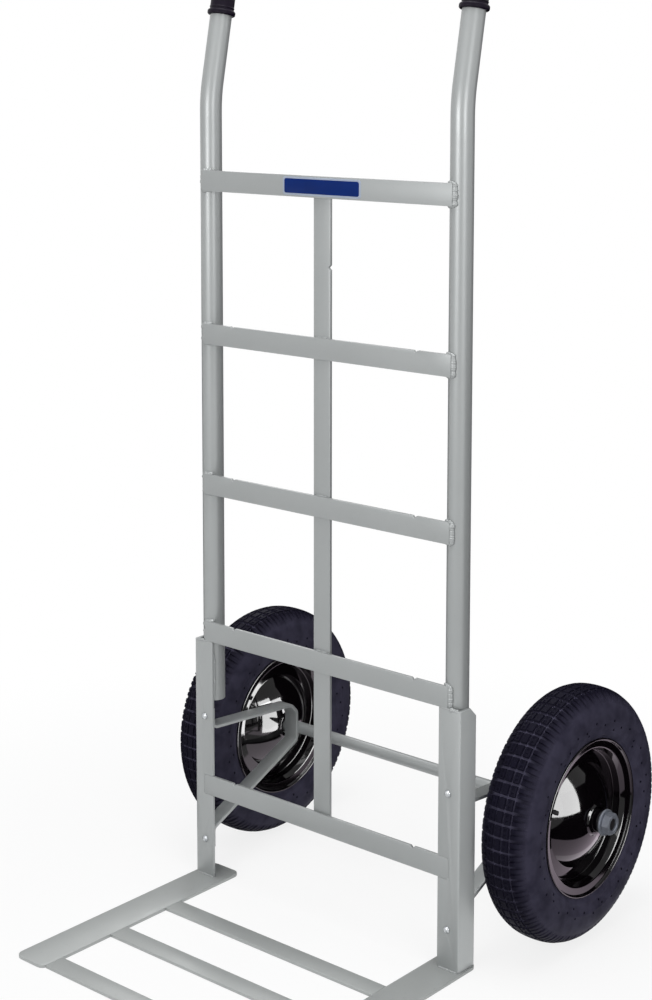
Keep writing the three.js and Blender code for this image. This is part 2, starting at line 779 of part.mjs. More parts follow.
// A thin tube that follows the tyre's inner walls at a distance, open at the valve.
function innerTube(side) {
  const section = (inset) => {
    const wall = innerWall();
    const bottom = wall[0].x + innerTubeGap + inset;
    const top = wall[wall.length - 1].x - innerTubeGap - inset;
    const half = wall.map(
      ({ x, y }) => new THREE.Vector2(THREE.MathUtils.clamp(x, bottom, top), y * innerTubeShare - inset),
    );
    return [...half, ...half.map(({ x, y }) => new THREE.Vector2(x, -y)).reverse()];
  };
  return cut(revolveWheel(section(0)), revolveWheel(section(tubeSkin)), valveBore(side));
}

function bush(sign) {
  const bore = axleRadius + fitGap;
  const outside = hubRadius - hubWall - fitGap;
  const end = sign > 0 ? hubOuterReach : hubInnerReach;
  const outline = [
    new THREE.Vector2(bore, sign * end),
    new THREE.Vector2(hubRadius, sign * end),
    new THREE.Vector2(hubRadius, sign * (end - bushFlange)),
    new THREE.Vector2(outside, sign * (end - bushFlange)),
    new THREE.Vector2(outside, sign * (end - bushLength)),
    new THREE.Vector2(bore, sign * (end - bushLength)),
  ];
  return revolve(outline, shaftSides);
}

function addWheel(sideName, side) {
  const wheel = new THREE.Group();
  wheel.position.set(side * wheelPlane, axlePlace, tyreRadius);
  wheel.rotation.z = (-side * Math.PI) / 2;
  truck.add(wheel);
  addPiece(wheel, sideName + "_tyre", tyre(), tyreRubber);
  addPiece(wheel, sideName + "_inner_tube", innerTube(side), tubeRubber);
  const valveHole = valveBore(side);
  addPiece(wheel, sideName + "_rim_outer_half", cut(rimHalf(), valveHole), rimPaint);
  const innerHalf = rimHalf();
  innerHalf.rotateX(Math.PI);
  addPiece(wheel, sideName + "_rim_inner_half", cut(innerHalf, valveHole), rimPaint);
  addPiece(wheel, sideName + "_valve_stem", valveStem(side), tubeRubber);
  const sleeveBottom = bushFlange + fitGap - hubInnerReach;
  const sleeveTop = hubOuterReach - bushFlange - fitGap;
  const sleeve = ring(hubRadius - hubWall, hubRadius, sleeveBottom, sleeveTop, shaftSides);
  addPiece(wheel, sideName + "_hub_sleeve", sleeve, rimPaint);
  addPiece(wheel, sideName + "_outer_bush", bush(1), bushNylon);
  addPiece(wheel, sideName + "_inner_bush", bush(-1), bushNylon);
}

// The axle, and on each side of it the collar, washers and nut that hold a wheel in place

const outerWasherStart = hubOuterEnd + sidePlay;
const outerWasherEnd = outerWasherStart + outerWasherThickness;
const axleNutStart = outerWasherEnd + weldGap;
const axleEnd = axleNutStart + axleNutHeight - threadShort;
const innerWasherEnd = hubInnerEnd - sidePlay;
const innerWasherStart = innerWasherEnd - innerWasherThickness;

function axle() {
  const shoulder = outerWasherStart - weldGap;
  const profile = [
    new THREE.Vector2(0, -axleEnd),
    new THREE.Vector2(threadRadius - axleChamfer, -axleEnd),
    new THREE.Vector2(threadRadius, axleChamfer - axleEnd),
    new THREE.Vector2(threadRadius, -shoulder),
    new THREE.Vector2(axleRadius, -shoulder),
    new THREE.Vector2(axleRadius, shoulder),
    new THREE.Vector2(threadRadius, shoulder),
    new THREE.Vector2(threadRadius, axleEnd - axleChamfer),
    new THREE.Vector2(threadRadius - axleChamfer, axleEnd),
    new THREE.Vector2(0, axleEnd),
  ];
  return new THREE.LatheGeometry(profile, shaftSides);
}

function addAxleEnd(sideName, side) {
  const end = new THREE.Group();
  end.position.set(0, axlePlace, tyreRadius);
  end.rotation.z = (-side * Math.PI) / 2;
  truck.add(end);
  const bore = axleRadius + fitGap;
  const collarStart = strapX + strapWidth / 2 + fitGap;
  const collar = ring(bore, collarRadius, collarStart, innerWasherStart - weldGap, shaftSides);
  addPiece(end, sideName + "_spacer_collar", collar, framePaint);
  const innerWasher = ring(bore, wheelWasherRadius, innerWasherStart, innerWasherEnd, shaftSides);
  addPiece(end, sideName + "_inner_washer", innerWasher, zinc);
  const threadBore = threadRadius + fitGap;
  const outerWasher = ring(threadBore, outerWasherRadius, outerWasherStart, outerWasherEnd, shaftSides);
  addPiece(end, sideName + "_outer_washer", outerWasher, zinc);
  const nut = hexagonRing(axleNutFlats, threadBore, axleNutHeight, shaftSides);
  nut.rotateX(-Math.PI / 2);
  nut.translate(0, axleNutStart, 0);
  addPiece(end, sideName + "_axle_nut", nut, zinc);
}

const axleBar = axle();
axleBar.rotateZ(-Math.PI / 2);
addPiece(truck, "axle", axleBar, framePaint).position.set(0, axlePlace, tyreRadius);

for (const [sideName, side] of sides) {
  addPiece(truck, sideName + "_foot_angle", footAngle(side), framePaint);
  addPiece(truck, sideName + "_toe_side_plate", toeSidePlate(side), toePaint);
  addPiece(truck, sideName + "_axle_bracket", axleBracket(side), framePaint);
  addBracketBolt(sideName + "_upper_bracket", side, upperBoltHeight);
  addBracketBolt(sideName + "_lower_bracket", side, lowerBoltHeight);
  addAxleEnd(sideName, side);
  addWheel(sideName, side);
}

export default truck;
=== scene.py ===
# %% [markdown]
# # A two-wheel hand truck, dressed in Blender
#
# The solids of this truck were drawn with plain facets, so that a physics engine can use them. This
# lesson gives them the look of the real thing: silver paint on mill-finished steel, gloss black pressed
# rims, rubber with a small block tread, and the weld beads that hold a ladder frame together. Every piece
# is built in metres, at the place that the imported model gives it, and it rides on the body that carries
# it.

# %% Load the solid model
import json
import math

import bmesh
import bpy
from mathutils import Matrix, Vector, noise


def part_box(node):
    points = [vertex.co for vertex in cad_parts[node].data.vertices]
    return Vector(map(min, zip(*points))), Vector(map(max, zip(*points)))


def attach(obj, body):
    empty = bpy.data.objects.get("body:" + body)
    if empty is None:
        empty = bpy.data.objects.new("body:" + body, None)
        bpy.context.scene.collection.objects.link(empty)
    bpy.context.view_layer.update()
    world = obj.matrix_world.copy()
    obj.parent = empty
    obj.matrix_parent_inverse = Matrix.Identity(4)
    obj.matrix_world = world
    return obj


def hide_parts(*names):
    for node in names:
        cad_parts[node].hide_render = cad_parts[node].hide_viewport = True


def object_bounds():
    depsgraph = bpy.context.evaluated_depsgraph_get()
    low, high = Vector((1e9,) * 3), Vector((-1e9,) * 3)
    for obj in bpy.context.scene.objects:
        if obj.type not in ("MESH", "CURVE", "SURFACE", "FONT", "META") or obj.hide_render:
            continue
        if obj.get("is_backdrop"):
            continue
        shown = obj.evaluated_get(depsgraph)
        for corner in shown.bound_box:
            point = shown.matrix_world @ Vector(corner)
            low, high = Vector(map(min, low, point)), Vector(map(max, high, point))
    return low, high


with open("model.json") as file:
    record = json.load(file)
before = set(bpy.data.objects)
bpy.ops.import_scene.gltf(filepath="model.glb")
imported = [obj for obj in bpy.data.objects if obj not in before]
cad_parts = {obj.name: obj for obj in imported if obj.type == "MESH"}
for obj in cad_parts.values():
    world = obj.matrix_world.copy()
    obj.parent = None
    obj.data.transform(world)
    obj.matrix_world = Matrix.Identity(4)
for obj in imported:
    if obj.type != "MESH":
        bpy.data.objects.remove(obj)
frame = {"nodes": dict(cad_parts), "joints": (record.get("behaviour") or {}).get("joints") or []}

solid_low, solid_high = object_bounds()
print("solid model, lowest and highest corner:", tuple(solid_low), tuple(solid_high))

# %% [markdown]
# ## The camera
#
# The camera stands at the front right of the truck, at the height of a person's chest, and looks down by
# some seven degrees. Its place and lens were worked out from the straight edges of the frame. The optical
# axis of the picture lies above its middle. A vertical shift of the lens gives that, where a steeper tilt
# would make the upright tubes lean towards each other.

# %% Place the camera
camera_data = bpy.data.cameras.new("photo_camera")
camera_data.sensor_fit = "AUTO"
camera_data.sensor_width = 36.0
camera_data.lens = 66.67
camera_data.shift_x = 0.0122
camera_data.shift_y = -0.2195
camera_data.clip_end = 60.0
camera = bpy.data.objects.new("photo_camera", camera_data)
camera.location = (1.7525, -2.0531, 1.2995)
camera.rotation_euler = (math.pi / 2 - 0.117, 0.0, 0.7141)
bpy.context.scene.collection.objects.link(camera)
bpy.context.scene.camera = camera
print("camera stands", round(camera.location.length, 2), "m from the origin")

# %% [markdown]
# ## Sizes taken from the model
#
# A dressed piece has to sit exactly where its solid is. Most places can be read from the boxes of the
# solids and from the wheel joints. Only the shapes inside a box, such as the bend of a handle, are
# written here, in millimetres, because workshop drawings use them. One factor turns them into metres.

# %% Read the main places
MM = 0.001
wheel_centre = {joint["child"]: Vector(joint["pos_m"]) for joint in frame["joints"]}
side_sign = {"left": -1.0, "right": 1.0}
axle_y = wheel_centre["left_wheel"].y
axle_z = wheel_centre["left_wheel"].z
front_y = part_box("crossbar_top")[0].y
print("axle at y, z:", round(axle_y, 4), round(axle_z, 4), "front plane of the bars:", round(front_y, 4))

# %% [markdown]
# ## Turning a mesh into a piece
#
# Each piece starts as a list of corner points and faces. A small helper makes the mesh, welds loose
# corners, points the faces outwards, shades it smooth and keeps edges sharp where two faces meet at a
# clear angle. Another puts the finished piece on its body, hides the solids that it stands for, and gives
# it its material.

# %% Helpers for meshes
def mesh_piece(name, build, sharp_degrees=38.0):
    """Makes an object from a function that fills a bmesh."""
    work = bmesh.new()
    build(work)
    bmesh.ops.remove_doubles(work, verts=work.verts, dist=2e-6)
    bmesh.ops.recalc_face_normals(work, faces=work.faces)
    mesh = bpy.data.meshes.new(name)
    work.to_mesh(mesh)
    work.free()
    mesh.shade_smooth()
    mesh.set_sharp_from_angle(angle=math.radians(sharp_degrees))
    piece = bpy.data.objects.new(name, mesh)
    bpy.context.scene.collection.objects.link(piece)
    return piece


def dress(piece, body, slot, material, nodes=()):
    """Puts a piece on its body and gives it its finish. The nodes named are the solids it stands for."""
    piece.data.materials.clear()
    piece.data.materials.append(material)
    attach(piece, body)
    if nodes:
        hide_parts(*nodes)
    return piece


def grid_faces(work, rows, closed_rows, closed_columns):
    """Joins a table of points, row by row, with four-sided faces."""
    table = [[work.verts.new(point) for point in row] for row in rows]
    row_count = len(table)
    column_count = len(table[0])
    for i in range(row_count if closed_rows else row_count - 1):
        for k in range(column_count if closed_columns else column_count - 1):
            a = table[i][k]
            b = table[(i + 1) % row_count][k]
            c = table[(i + 1) % row_count][(k + 1) % column_count]
            d = table[i][(k + 1) % column_count]
            corners = [a, b, c, d]
            different = []
            for corner in corners:
                if all((corner.co - other.co).length > 1e-7 for other in different):
                    different.append(corner)
            if len(different) > 2:
                work.faces.new(different)
    return table


print("mesh helpers are ready")

# %% [markdown]
# ## The floor
#
# The photograph is a studio picture on white. A pale floor carries a soft contact shadow. It is mixed
# towards plain white for camera and mirror rays, and more so further out, so that the floor has no
# visible edge. Materials are made of nodes, and three helpers save typing: one fills in the inputs of a
# node, one joins two sockets with a calculation, and one tells matte light from what the camera or a
# mirror sees.

# %% Helpers for nodes
def put(node, values):
    """Types numbers or colours into a node's inputs, by the names of the inputs."""
    for name, value in values.items():
        node.inputs[name].default_value = value


def joined(nodes, links, operation, first, second):
    """Joins two sockets with a Math node and returns its result."""
    node = nodes.new("ShaderNodeMath")
    node.operation = operation
    links.new(first, node.inputs[0])
    links.new(second, node.inputs[1])
    return node.outputs[0]


def seen_or_mirrored(nodes, links):
    """Is 1 for rays from the camera, from a mirror or through glass, and 0 for matte light."""
    path = nodes.new("ShaderNodeLightPath")
    seen = joined(nodes, links, "MAXIMUM", path.outputs["Is Camera Ray"], path.outputs["Is Glossy Ray"])
    return joined(nodes, links, "MAXIMUM", seen, path.outputs["Is Transmission Ray"])


print("node helpers are ready")

# %% Build the floor
FLOOR_HALF, FLOOR_HEIGHT = 9.0, -0.0002
WHITE = (1.0, 1.0, 1.0, 1.0)


def floor_material():
    material = bpy.data.materials.new("studio_floor")
    material.use_nodes = True
    nodes, links = material.node_tree.nodes, material.node_tree.links
    nodes.clear()
    output = nodes.new("ShaderNodeOutputMaterial")
    mix = nodes.new("ShaderNodeMixShader")
    matte = nodes.new("ShaderNodeBsdfDiffuse")
    put(matte, {"Color": (0.93, 0.93, 0.93, 1.0)})
    white = nodes.new("ShaderNodeEmission")
    put(white, {"Color": WHITE, "Strength": 1.0})
    place = nodes.new("ShaderNodeTexCoord")
    distance = nodes.new("ShaderNodeVectorMath")
    distance.operation = "LENGTH"
    links.new(place.outputs["Object"], distance.inputs[0])
    spread = nodes.new("ShaderNodeMapRange")
    spread.interpolation_type = "SMOOTHSTEP"
    put(spread, {"From Min": 0.5, "From Max": 1.3, "To Min": 0.82, "To Max": 1.0})
    links.new(distance.outputs["Value"], spread.inputs["Value"])
    share = joined(nodes, links, "MULTIPLY", seen_or_mirrored(nodes, links), spread.outputs["Result"])
    links.new(share, mix.inputs["Fac"])
    links.new(matte.outputs[0], mix.inputs[1])
    links.new(white.outputs[0], mix.inputs[2])
    links.new(mix.outputs[0], output.inputs["Surface"])
    return material


def build_floor(work):
    half = FLOOR_HALF
    corners = [(-half, -half), (half, -half), (half, half), (-half, half)]
    work.faces.new([work.verts.new((x, y, FLOOR_HEIGHT)) for x, y in corners])


floor = mesh_piece("studio_floor", build_floor)
floor.data.materials.append(floor_material())
floor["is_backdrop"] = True
print("floor is", round(floor.dimensions.x, 1), "m wide")

# %% [markdown]
# ## Black flags
#
# Behind and beside the truck the studio was dark, and gloss black paint can only look black where it
# mirrors something dark. Photographers stand black cards, called flags, out of the picture for that. Here
# they are plain sheets that only mirror rays can meet, so they cast no shadow and take no light from the
# truck.

# %% Stand the flags
def build_flags(work):
    side, near, far, top, lift = 1.5, -0.1, 1.3, 0.8, 0.0006
    high_half, high_top = 1.1, 1.5
    middle_half, middle_start = 0.4, 0.45

    def behind(half, low, high):
        return [(-half, far, low), (half, far, low), (half, far, high), (-half, far, high)]

    def on_floor(left, right, start):
        return [(left, start, lift), (right, start, lift), (right, far, lift), (left, far, lift)]

    sheets = [behind(side, 0.0, top), behind(high_half, top, high_top)]
    sheets.append(on_floor(-middle_half, middle_half, middle_start))
    for sign in (-1.0, 1.0):
        x = sign * side
        sheets.append([(x, near, 0.0), (x, far, 0.0), (x, far, top), (x, near, top)])
        sheets.append(on_floor(sign * middle_half, x, near))
    for corners in sheets:
        work.faces.new([work.verts.new(corner) for corner in corners])


flags = mesh_piece("studio_flags", build_flags)
flag_cloth = bpy.data.materials.new("black_flag_cloth")
flag_cloth.use_nodes = True
flag_shader = flag_cloth.node_tree.nodes["Principled BSDF"]
put(flag_shader, {"Base Color": (0.002, 0.002, 0.002, 1.0), "Specular IOR Level": 0.0})
flags.data.materials.append(flag_cloth)
for ray in ("camera", "diffuse", "transmission", "volume_scatter", "shadow"):
    setattr(flags, "visible_" + ray, False)
flags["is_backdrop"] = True
print("flags:", len(flags.data.polygons), "sheets")

# %% [markdown]
# ## Sky and lamps
#
# The sky is plain white to the camera and to mirrors, and less than half as strong as matte light. A wide
# lamp overhead lights the toe plate, and a weak one lights the back. Two soft boxes stand at the height
# of the handles' bends, one in front and one at the right, so each tube shows two bright streaks that
# fade downwards. A wide, flat lamp in front gives no matte light at all: it only shapes the streak. The
# foot angles and axle brackets stand between the wheels and would be too dark, so two low lamps at the
# sides are linked to them alone. Lamps of this kind have an area, because a small hard lamp would draw a
# sharp shadow.

# %% Light the truck
def build_sky():
    world = bpy.data.worlds.new("studio_world")
    bpy.context.scene.world = world
    world.use_nodes = True
    nodes, links = world.node_tree.nodes, world.node_tree.links
    nodes.clear()
    output = nodes.new("ShaderNodeOutputWorld")
    mix = nodes.new("ShaderNodeMixShader")
    matte_light = nodes.new("ShaderNodeBackground")
    put(matte_light, {"Color": (0.98, 0.99, 1.0, 1.0), "Strength": 0.45})
    white = nodes.new("ShaderNodeBackground")
    put(white, {"Color": WHITE, "Strength": 1.0})
    links.new(seen_or_mirrored(nodes, links), mix.inputs["Fac"])
    links.new(matte_light.outputs[0], mix.inputs[1])
    links.new(white.outputs[0], mix.inputs[2])
    links.new(mix.outputs[0], output.inputs["Surface"])


def soft_lamp(name, place, target, width, height, watts):
    """Hangs an area lamp that the camera doesn't see, turned to face its target. Sizes are in metres."""
    lamp = bpy.data.lights.new(name, "AREA")
    lamp.shape = "RECTANGLE"
    lamp.size = width
    lamp.size_y = height
    lamp.energy = watts
    holder = bpy.data.objects.new(name, lamp)
    holder.location = place
    direction = Vector(target) - Vector(place)
    holder.rotation_euler = direction.to_track_quat("-Z", "Y").to_euler()
    holder.visible_camera = False
    bpy.context.scene.collection.objects.link(holder)
    return holder


build_sky()
upper_frame, lower_frame, toe_middle = (0.0, 0.0, 1.0), (0.0, 0.0, 0.6), (0.0, -0.1, 0.0)
soft_lamp("front_soft_box", (0.1, -2.5, 1.3), upper_frame, width=0.9, height=0.8, watts=8.4)
soft_lamp("side_soft_box", (2.35, -1.2, 1.3), upper_frame, width=0.8, height=0.8, watts=13.0)
soft_lamp("overhead_lamp", (0.2, -0.3, 3.2), toe_middle, width=1.8, height=1.8, watts=42.0)
soft_lamp("back_lamp", (-2.4, 2.2, 2.4), lower_frame, width=1.2, height=1.2, watts=10.0)
feet_lit = bpy.data.collections.new("feet_lit")
for sign in (-1.0, 1.0):
    place, target = (sign * 1.3, -0.12, 0.3), (sign * 0.25, 0.0, 0.2)
    low_lamp = soft_lamp("low_side_lamp", place, target, width=0.4, height=0.4, watts=5.5)
    low_lamp.visible_glossy = False
    low_lamp.light_linking.receiver_collection = feet_lit
place, target = (-0.1, -2.5, 1.15), (0.0, 0.0, 1.1)
streak_lamp = soft_lamp("tube_streak_lamp", place, target, width=1.4, height=0.5, watts=12.0)
streak_lamp.visible_diffuse = False
bpy.context.scene.view_settings.view_transform = "Standard"

# %% [markdown]
# ## Effects that several finishes share
#
# Real surfaces are never one flat colour. Three small effects are built once as node groups and placed in
# each finish with their own values. All of them read the object's own coordinates in metres, so their
# scale is the same on every piece and they turn with the wheels.

# %% Helper for node groups
def new_group(name, inputs, outputs):
    """Makes an empty node group. Inputs and outputs are lists of (name, socket type, default)."""
    group = bpy.data.node_groups.new(name, "ShaderNodeTree")
    for socket_name, kind, default in inputs:
        socket = group.interface.new_socket(name=socket_name, in_out="INPUT", socket_type=kind)
        socket.default_value = default
    for socket_name, kind in outputs:
        group.interface.new_socket(name=socket_name, in_out="OUTPUT", socket_type=kind)
    entry = group.nodes.new("NodeGroupInput")
    leave = group.nodes.new("NodeGroupOutput")
    return group, entry, leave


FLOAT, COLOUR = "NodeSocketFloat", "NodeSocketColor"
print("node group helper is ready")

# %% [markdown]
# ## Slow drift
#
# Paint is a little thicker here and thinner there. A soft noise drifts slowly between two colours. Its
# mask comes out too, so that the roughness can follow the same patches.

# %% Slow drift between two colours
drift_group, drift_in, drift_out = new_group(
    "colour_drift",
    [
        ("Colour A", COLOUR, (0.5, 0.5, 0.5, 1.0)),
        ("Colour B", COLOUR, (0.4, 0.4, 0.4, 1.0)),
        ("Scale", FLOAT, 8.0),
    ],
    [("Colour", COLOUR), ("Mask", FLOAT)],
)


def build_drift():
    nodes, links = drift_group.nodes, drift_group.links
    place = nodes.new("ShaderNodeTexCoord")
    cloud = nodes.new("ShaderNodeTexNoise")
    put(cloud, {"Detail": 4.0, "Roughness": 0.55})
    links.new(place.outputs["Object"], cloud.inputs["Vector"])
    links.new(drift_in.outputs["Scale"], cloud.inputs["Scale"])
    contrast = nodes.new("ShaderNodeMapRange")
    put(contrast, {"From Min": 0.33, "From Max": 0.67})
    links.new(cloud.outputs["Fac"], contrast.inputs["Value"])
    mix = nodes.new("ShaderNodeMix")
    mix.data_type = "RGBA"
    links.new(contrast.outputs["Result"], mix.inputs["Factor"])
    links.new(drift_in.outputs["Colour A"], mix.inputs["A"])
    links.new(drift_in.outputs["Colour B"], mix.inputs["B"])
    links.new(mix.outputs["Result"], drift_out.inputs["Colour"])
    links.new(contrast.outputs["Result"], drift_out.inputs["Mask"])


build_drift()
print("colour drift:", len(drift_group.nodes), "nodes")

# %% [markdown]
# ## Specks
#
# Dust and pinholes lie scattered over paint. Cells of a Voronoi texture give the places: a speck is where
# a point lies close to the middle of its cell, and each cell's random colour says whether it carries one.

# %% Scattered specks
speck_group, speck_in, speck_out = new_group(
    "scattered_specks",
    [("Scale", FLOAT, 300.0), ("Size", FLOAT, 0.16), ("Share", FLOAT, 0.3)],
    [("Mask", FLOAT)],
)


def build_specks():
    nodes, links = speck_group.nodes, speck_group.links
    place = nodes.new("ShaderNodeTexCoord")
    cells = nodes.new("ShaderNodeTexVoronoi")
    links.new(place.outputs["Object"], cells.inputs["Vector"])
    links.new(speck_in.outputs["Scale"], cells.inputs["Scale"])
    near = joined(nodes, links, "LESS_THAN", cells.outputs["Distance"], speck_in.outputs["Size"])
    pick = nodes.new("ShaderNodeSeparateColor")
    links.new(cells.outputs["Color"], pick.inputs["Color"])
    chosen = joined(nodes, links, "LESS_THAN", pick.outputs["Red"], speck_in.outputs["Share"])
    links.new(joined(nodes, links, "MULTIPLY", near, chosen), speck_out.inputs["Mask"])


build_specks()
print("specks:", len(speck_group.nodes), "nodes")

# %% [markdown]
# ## Grain
#
# Paint, plastic and rubber all have a skin with a fine grain. A fine noise and a coarse one are mixed
# into a height, and each material turns it into a bump: small tilts of the surface that need no extra
# faces.

# %% Fine grain
grain_group, grain_in, grain_out = new_group(
    "fine_grain",
    [("Scale", FLOAT, 900.0), ("Coarse Scale", FLOAT, 60.0), ("Coarse Share", FLOAT, 0.3)],
    [("Height", FLOAT)],
)


def build_grain():
    nodes, links = grain_group.nodes, grain_group.links
    place = nodes.new("ShaderNodeTexCoord")
    fine = nodes.new("ShaderNodeTexNoise")
    put(fine, {"Detail": 2.0})
    links.new(place.outputs["Object"], fine.inputs["Vector"])
    links.new(grain_in.outputs["Scale"], fine.inputs["Scale"])
    coarse = nodes.new("ShaderNodeTexNoise")
    put(coarse, {"Detail": 1.0})
    links.new(place.outputs["Object"], coarse.inputs["Vector"])
    links.new(grain_in.outputs["Coarse Scale"], coarse.inputs["Scale"])
    mix = nodes.new("ShaderNodeMix")
    mix.data_type = "FLOAT"
    links.new(grain_in.outputs["Coarse Share"], mix.inputs["Factor"])
    links.new(fine.outputs["Fac"], mix.inputs["A"])
    links.new(coarse.outputs["Fac"], mix.inputs["B"])
    links.new(mix.outputs["Result"], grain_out.inputs["Height"])


build_grain()
print("grain:", len(grain_group.nodes), "nodes")

# %% [markdown]
# ## Finishes
#
# Every finish is built by one function from the same parts: a drifting colour, specks mixed over it, a
# roughness that follows the drift, and a bump from the grain. What differs is a row of plain numbers.
# Values that are the same all over a surface, such as how metallic it is or how thick its clear coat, go
# straight onto the shader.

# %% Build one finish
def linear(red, green, blue):
    """A screen colour from 0 to 255 as the linear colour that shaders use."""
    def channel(value):
        share = value / 255.0
        return share / 12.92 if share <= 0.04045 else ((share + 0.055) / 1.055) ** 2.4

    return (channel(red), channel(green), channel(blue), 1.0)


def placed_group(nodes, group, values):
    """Places a shared effect in a material with its own values."""
    node = nodes.new("ShaderNodeGroup")
    node.node_tree = group
    put(node, values)
    return node


def finish_material(
    name, colour, second, drift_scale=7.0, speck=None, speck_scale=260.0, speck_size=0.16, speck_share=0.2,
    roughness=(0.35, 0.45), metallic=0.0, coat=0.0, coat_roughness=0.1, ior=1.45,
    grain_scale=900.0, coarse_scale=60.0, coarse_share=0.3, bump_mm=0.02, bump_strength=0.5,
):
    """A finish whose base has slow colour drift, specks, varying roughness and a fine bump."""
    material = bpy.data.materials.new(name)
    material.use_nodes = True
    nodes, links = material.node_tree.nodes, material.node_tree.links
    shader = nodes["Principled BSDF"]
    put(shader, {"Metallic": metallic, "IOR": ior, "Coat Weight": coat, "Coat Roughness": coat_roughness})
    drift = placed_group(nodes, drift_group, {"Colour A": colour, "Colour B": second, "Scale": drift_scale})
    base = drift.outputs["Colour"]
    if speck:
        values = {"Scale": speck_scale, "Size": speck_size, "Share": speck_share}
        specks = placed_group(nodes, speck_group, values)
        over = nodes.new("ShaderNodeMix")
        over.data_type = "RGBA"
        over.name = "specks_over"
        put(over, {"B": speck})
        links.new(specks.outputs["Mask"], over.inputs["Factor"])
        links.new(base, over.inputs["A"])
        base = over.outputs["Result"]
    links.new(base, shader.inputs["Base Color"])
    rough = nodes.new("ShaderNodeMapRange")
    put(rough, {"To Min": roughness[0], "To Max": roughness[1]})
    links.new(drift.outputs["Mask"], rough.inputs["Value"])
    links.new(rough.outputs["Result"], shader.inputs["Roughness"])
    values = {"Scale": grain_scale, "Coarse Scale": coarse_scale, "Coarse Share": coarse_share}
    grain = placed_group(nodes, grain_group, values)
    bump = nodes.new("ShaderNodeBump")
    put(bump, {"Strength": bump_strength, "Distance": bump_mm * MM})
    links.new(grain.outputs["Height"], bump.inputs["Height"])
    links.new(bump.outputs["Normal"], shader.inputs["Normal"])
    return material


print("a finish takes", finish_material.__code__.co_argcount, "values")

# %% [markdown]
# ## The finishes of this truck
#
# The silver paint holds metal flakes, so it is partly metallic under a thin clear coat, and the toe plate
# is a little rougher from use. Its paint is also a little lighter than that of the frame: painted light,
# for the light that falls on the toe plate from above. The bracket bolts and inner washers are bright zinc,
# the large nuts and outer washers a duller one. The threaded ends of the axle are cut steel, painted near
# black as painted shade for the recess inside each nut. The rims are gloss black, with almost no roughness.
# Rubber, plastic and nylon have no metal, and on the grips and tyres a low index of refraction keeps them
# dark where they are seen at a slant.

# %% The finishes of this truck
frame_paint = finish_material(
    "silver_frame_paint", linear(166, 169, 169), linear(160, 163, 163), drift_scale=5.0,
    speck=linear(140, 143, 143), speck_scale=330.0, speck_size=0.13, speck_share=0.10,
    roughness=(0.33, 0.42), metallic=0.35, coat=0.12, coat_roughness=0.32, bump_mm=0.025,
)
# Lighter than the frame paint: painted light from above on the toe plate's top. It is also rougher from
# use.
toe_paint = finish_material(
    "silver_toe_paint_painted_lighter", linear(176, 179, 178), linear(169, 172, 171), drift_scale=6.0,
    speck=linear(148, 151, 150), speck_scale=300.0, speck_size=0.15, speck_share=0.14,
    roughness=(0.38, 0.5), metallic=0.25, coat=0.1, coat_roughness=0.2, bump_mm=0.03,
)
zinc_plate = finish_material(
    "bright_zinc", linear(205, 208, 210), linear(178, 182, 186), drift_scale=90.0,
    speck=linear(150, 152, 150), speck_scale=700.0, speck_size=0.2, speck_share=0.15,
    roughness=(0.22, 0.36), metallic=1.0, bump_mm=0.01, grain_scale=1600.0,
)
rim_paint = finish_material(
    "gloss_black_rim_paint", linear(10, 7, 10), linear(6, 4, 6), drift_scale=9.0,
    speck=linear(60, 56, 60), speck_scale=420.0, speck_size=0.08, speck_share=0.04,
    roughness=(0.05, 0.09), metallic=0.0, ior=1.33,
    grain_scale=500.0, coarse_scale=28.0, coarse_share=0.7, bump_mm=0.02, bump_strength=0.25,
)
tube_rubber = finish_material(
    "smooth_black_rubber", linear(34, 33, 36), linear(26, 25, 28), drift_scale=30.0,
    roughness=(0.5, 0.62), bump_mm=0.03,
)
grip_plastic = finish_material(
    "dark_grip_plastic", linear(22, 14, 30), linear(17, 11, 24), drift_scale=22.0,
    speck=linear(42, 34, 50), speck_scale=600.0, speck_size=0.14, speck_share=0.1,
    roughness=(0.34, 0.46), ior=1.22, bump_mm=0.04, grain_scale=1300.0,
)
bush_nylon = finish_material(
    "black_nylon", linear(38, 38, 42), linear(30, 30, 34), drift_scale=40.0,
    roughness=(0.4, 0.5), bump_mm=0.02,
)
plate_enamel = finish_material(
    "blue_plate_enamel", linear(0, 42, 118), linear(0, 36, 104), drift_scale=16.0,
    roughness=(0.36, 0.46), coat=0.0, ior=1.2, coat_roughness=0.12, bump_mm=0.01,
)
dull_zinc = finish_material(
    "dull_zinc", linear(152, 156, 166), linear(128, 132, 142), drift_scale=110.0,
    speck=linear(96, 100, 110), speck_scale=800.0, speck_size=0.2, speck_share=0.14,
    roughness=(0.34, 0.46), metallic=0.55, bump_mm=0.012, grain_scale=1600.0,
)
# Cut steel, painted near black: painted shade for the recess inside the nut where the axle's end sits.
cut_steel = finish_material(
    "cut_steel_painted_shade_dark", linear(44, 40, 42), linear(30, 28, 30), drift_scale=120.0,
    roughness=(0.5, 0.62), metallic=0.3, bump_mm=0.02,
)
plate_edge = finish_material(
    "pale_plate_edge", linear(172, 182, 198), linear(162, 172, 190), drift_scale=30.0,
    roughness=(0.35, 0.45), bump_mm=0.01,
)
print("finishes:", [m.name for m in bpy.data.materials if m.use_nodes])

# %% [markdown]
# ## Flat steel
#
# The crossbars, the centre bar, the toe plate, the foot angles and the axle brackets are cut from rolled
# bar. Real bar never has a knife edge: the mill leaves it slightly round, and paint rounds it further. So
# each of these pieces starts as a copy of its solid, its small facets are merged, and every real edge is
# bevelled by half a millimetre. That thin bevel is what catches the light along each bar.

# %% Bevel the flat bars
BAR_BEVEL, TOE_BEVEL, LEAST_CORNER = 0.5, 0.6, math.radians(42.0)


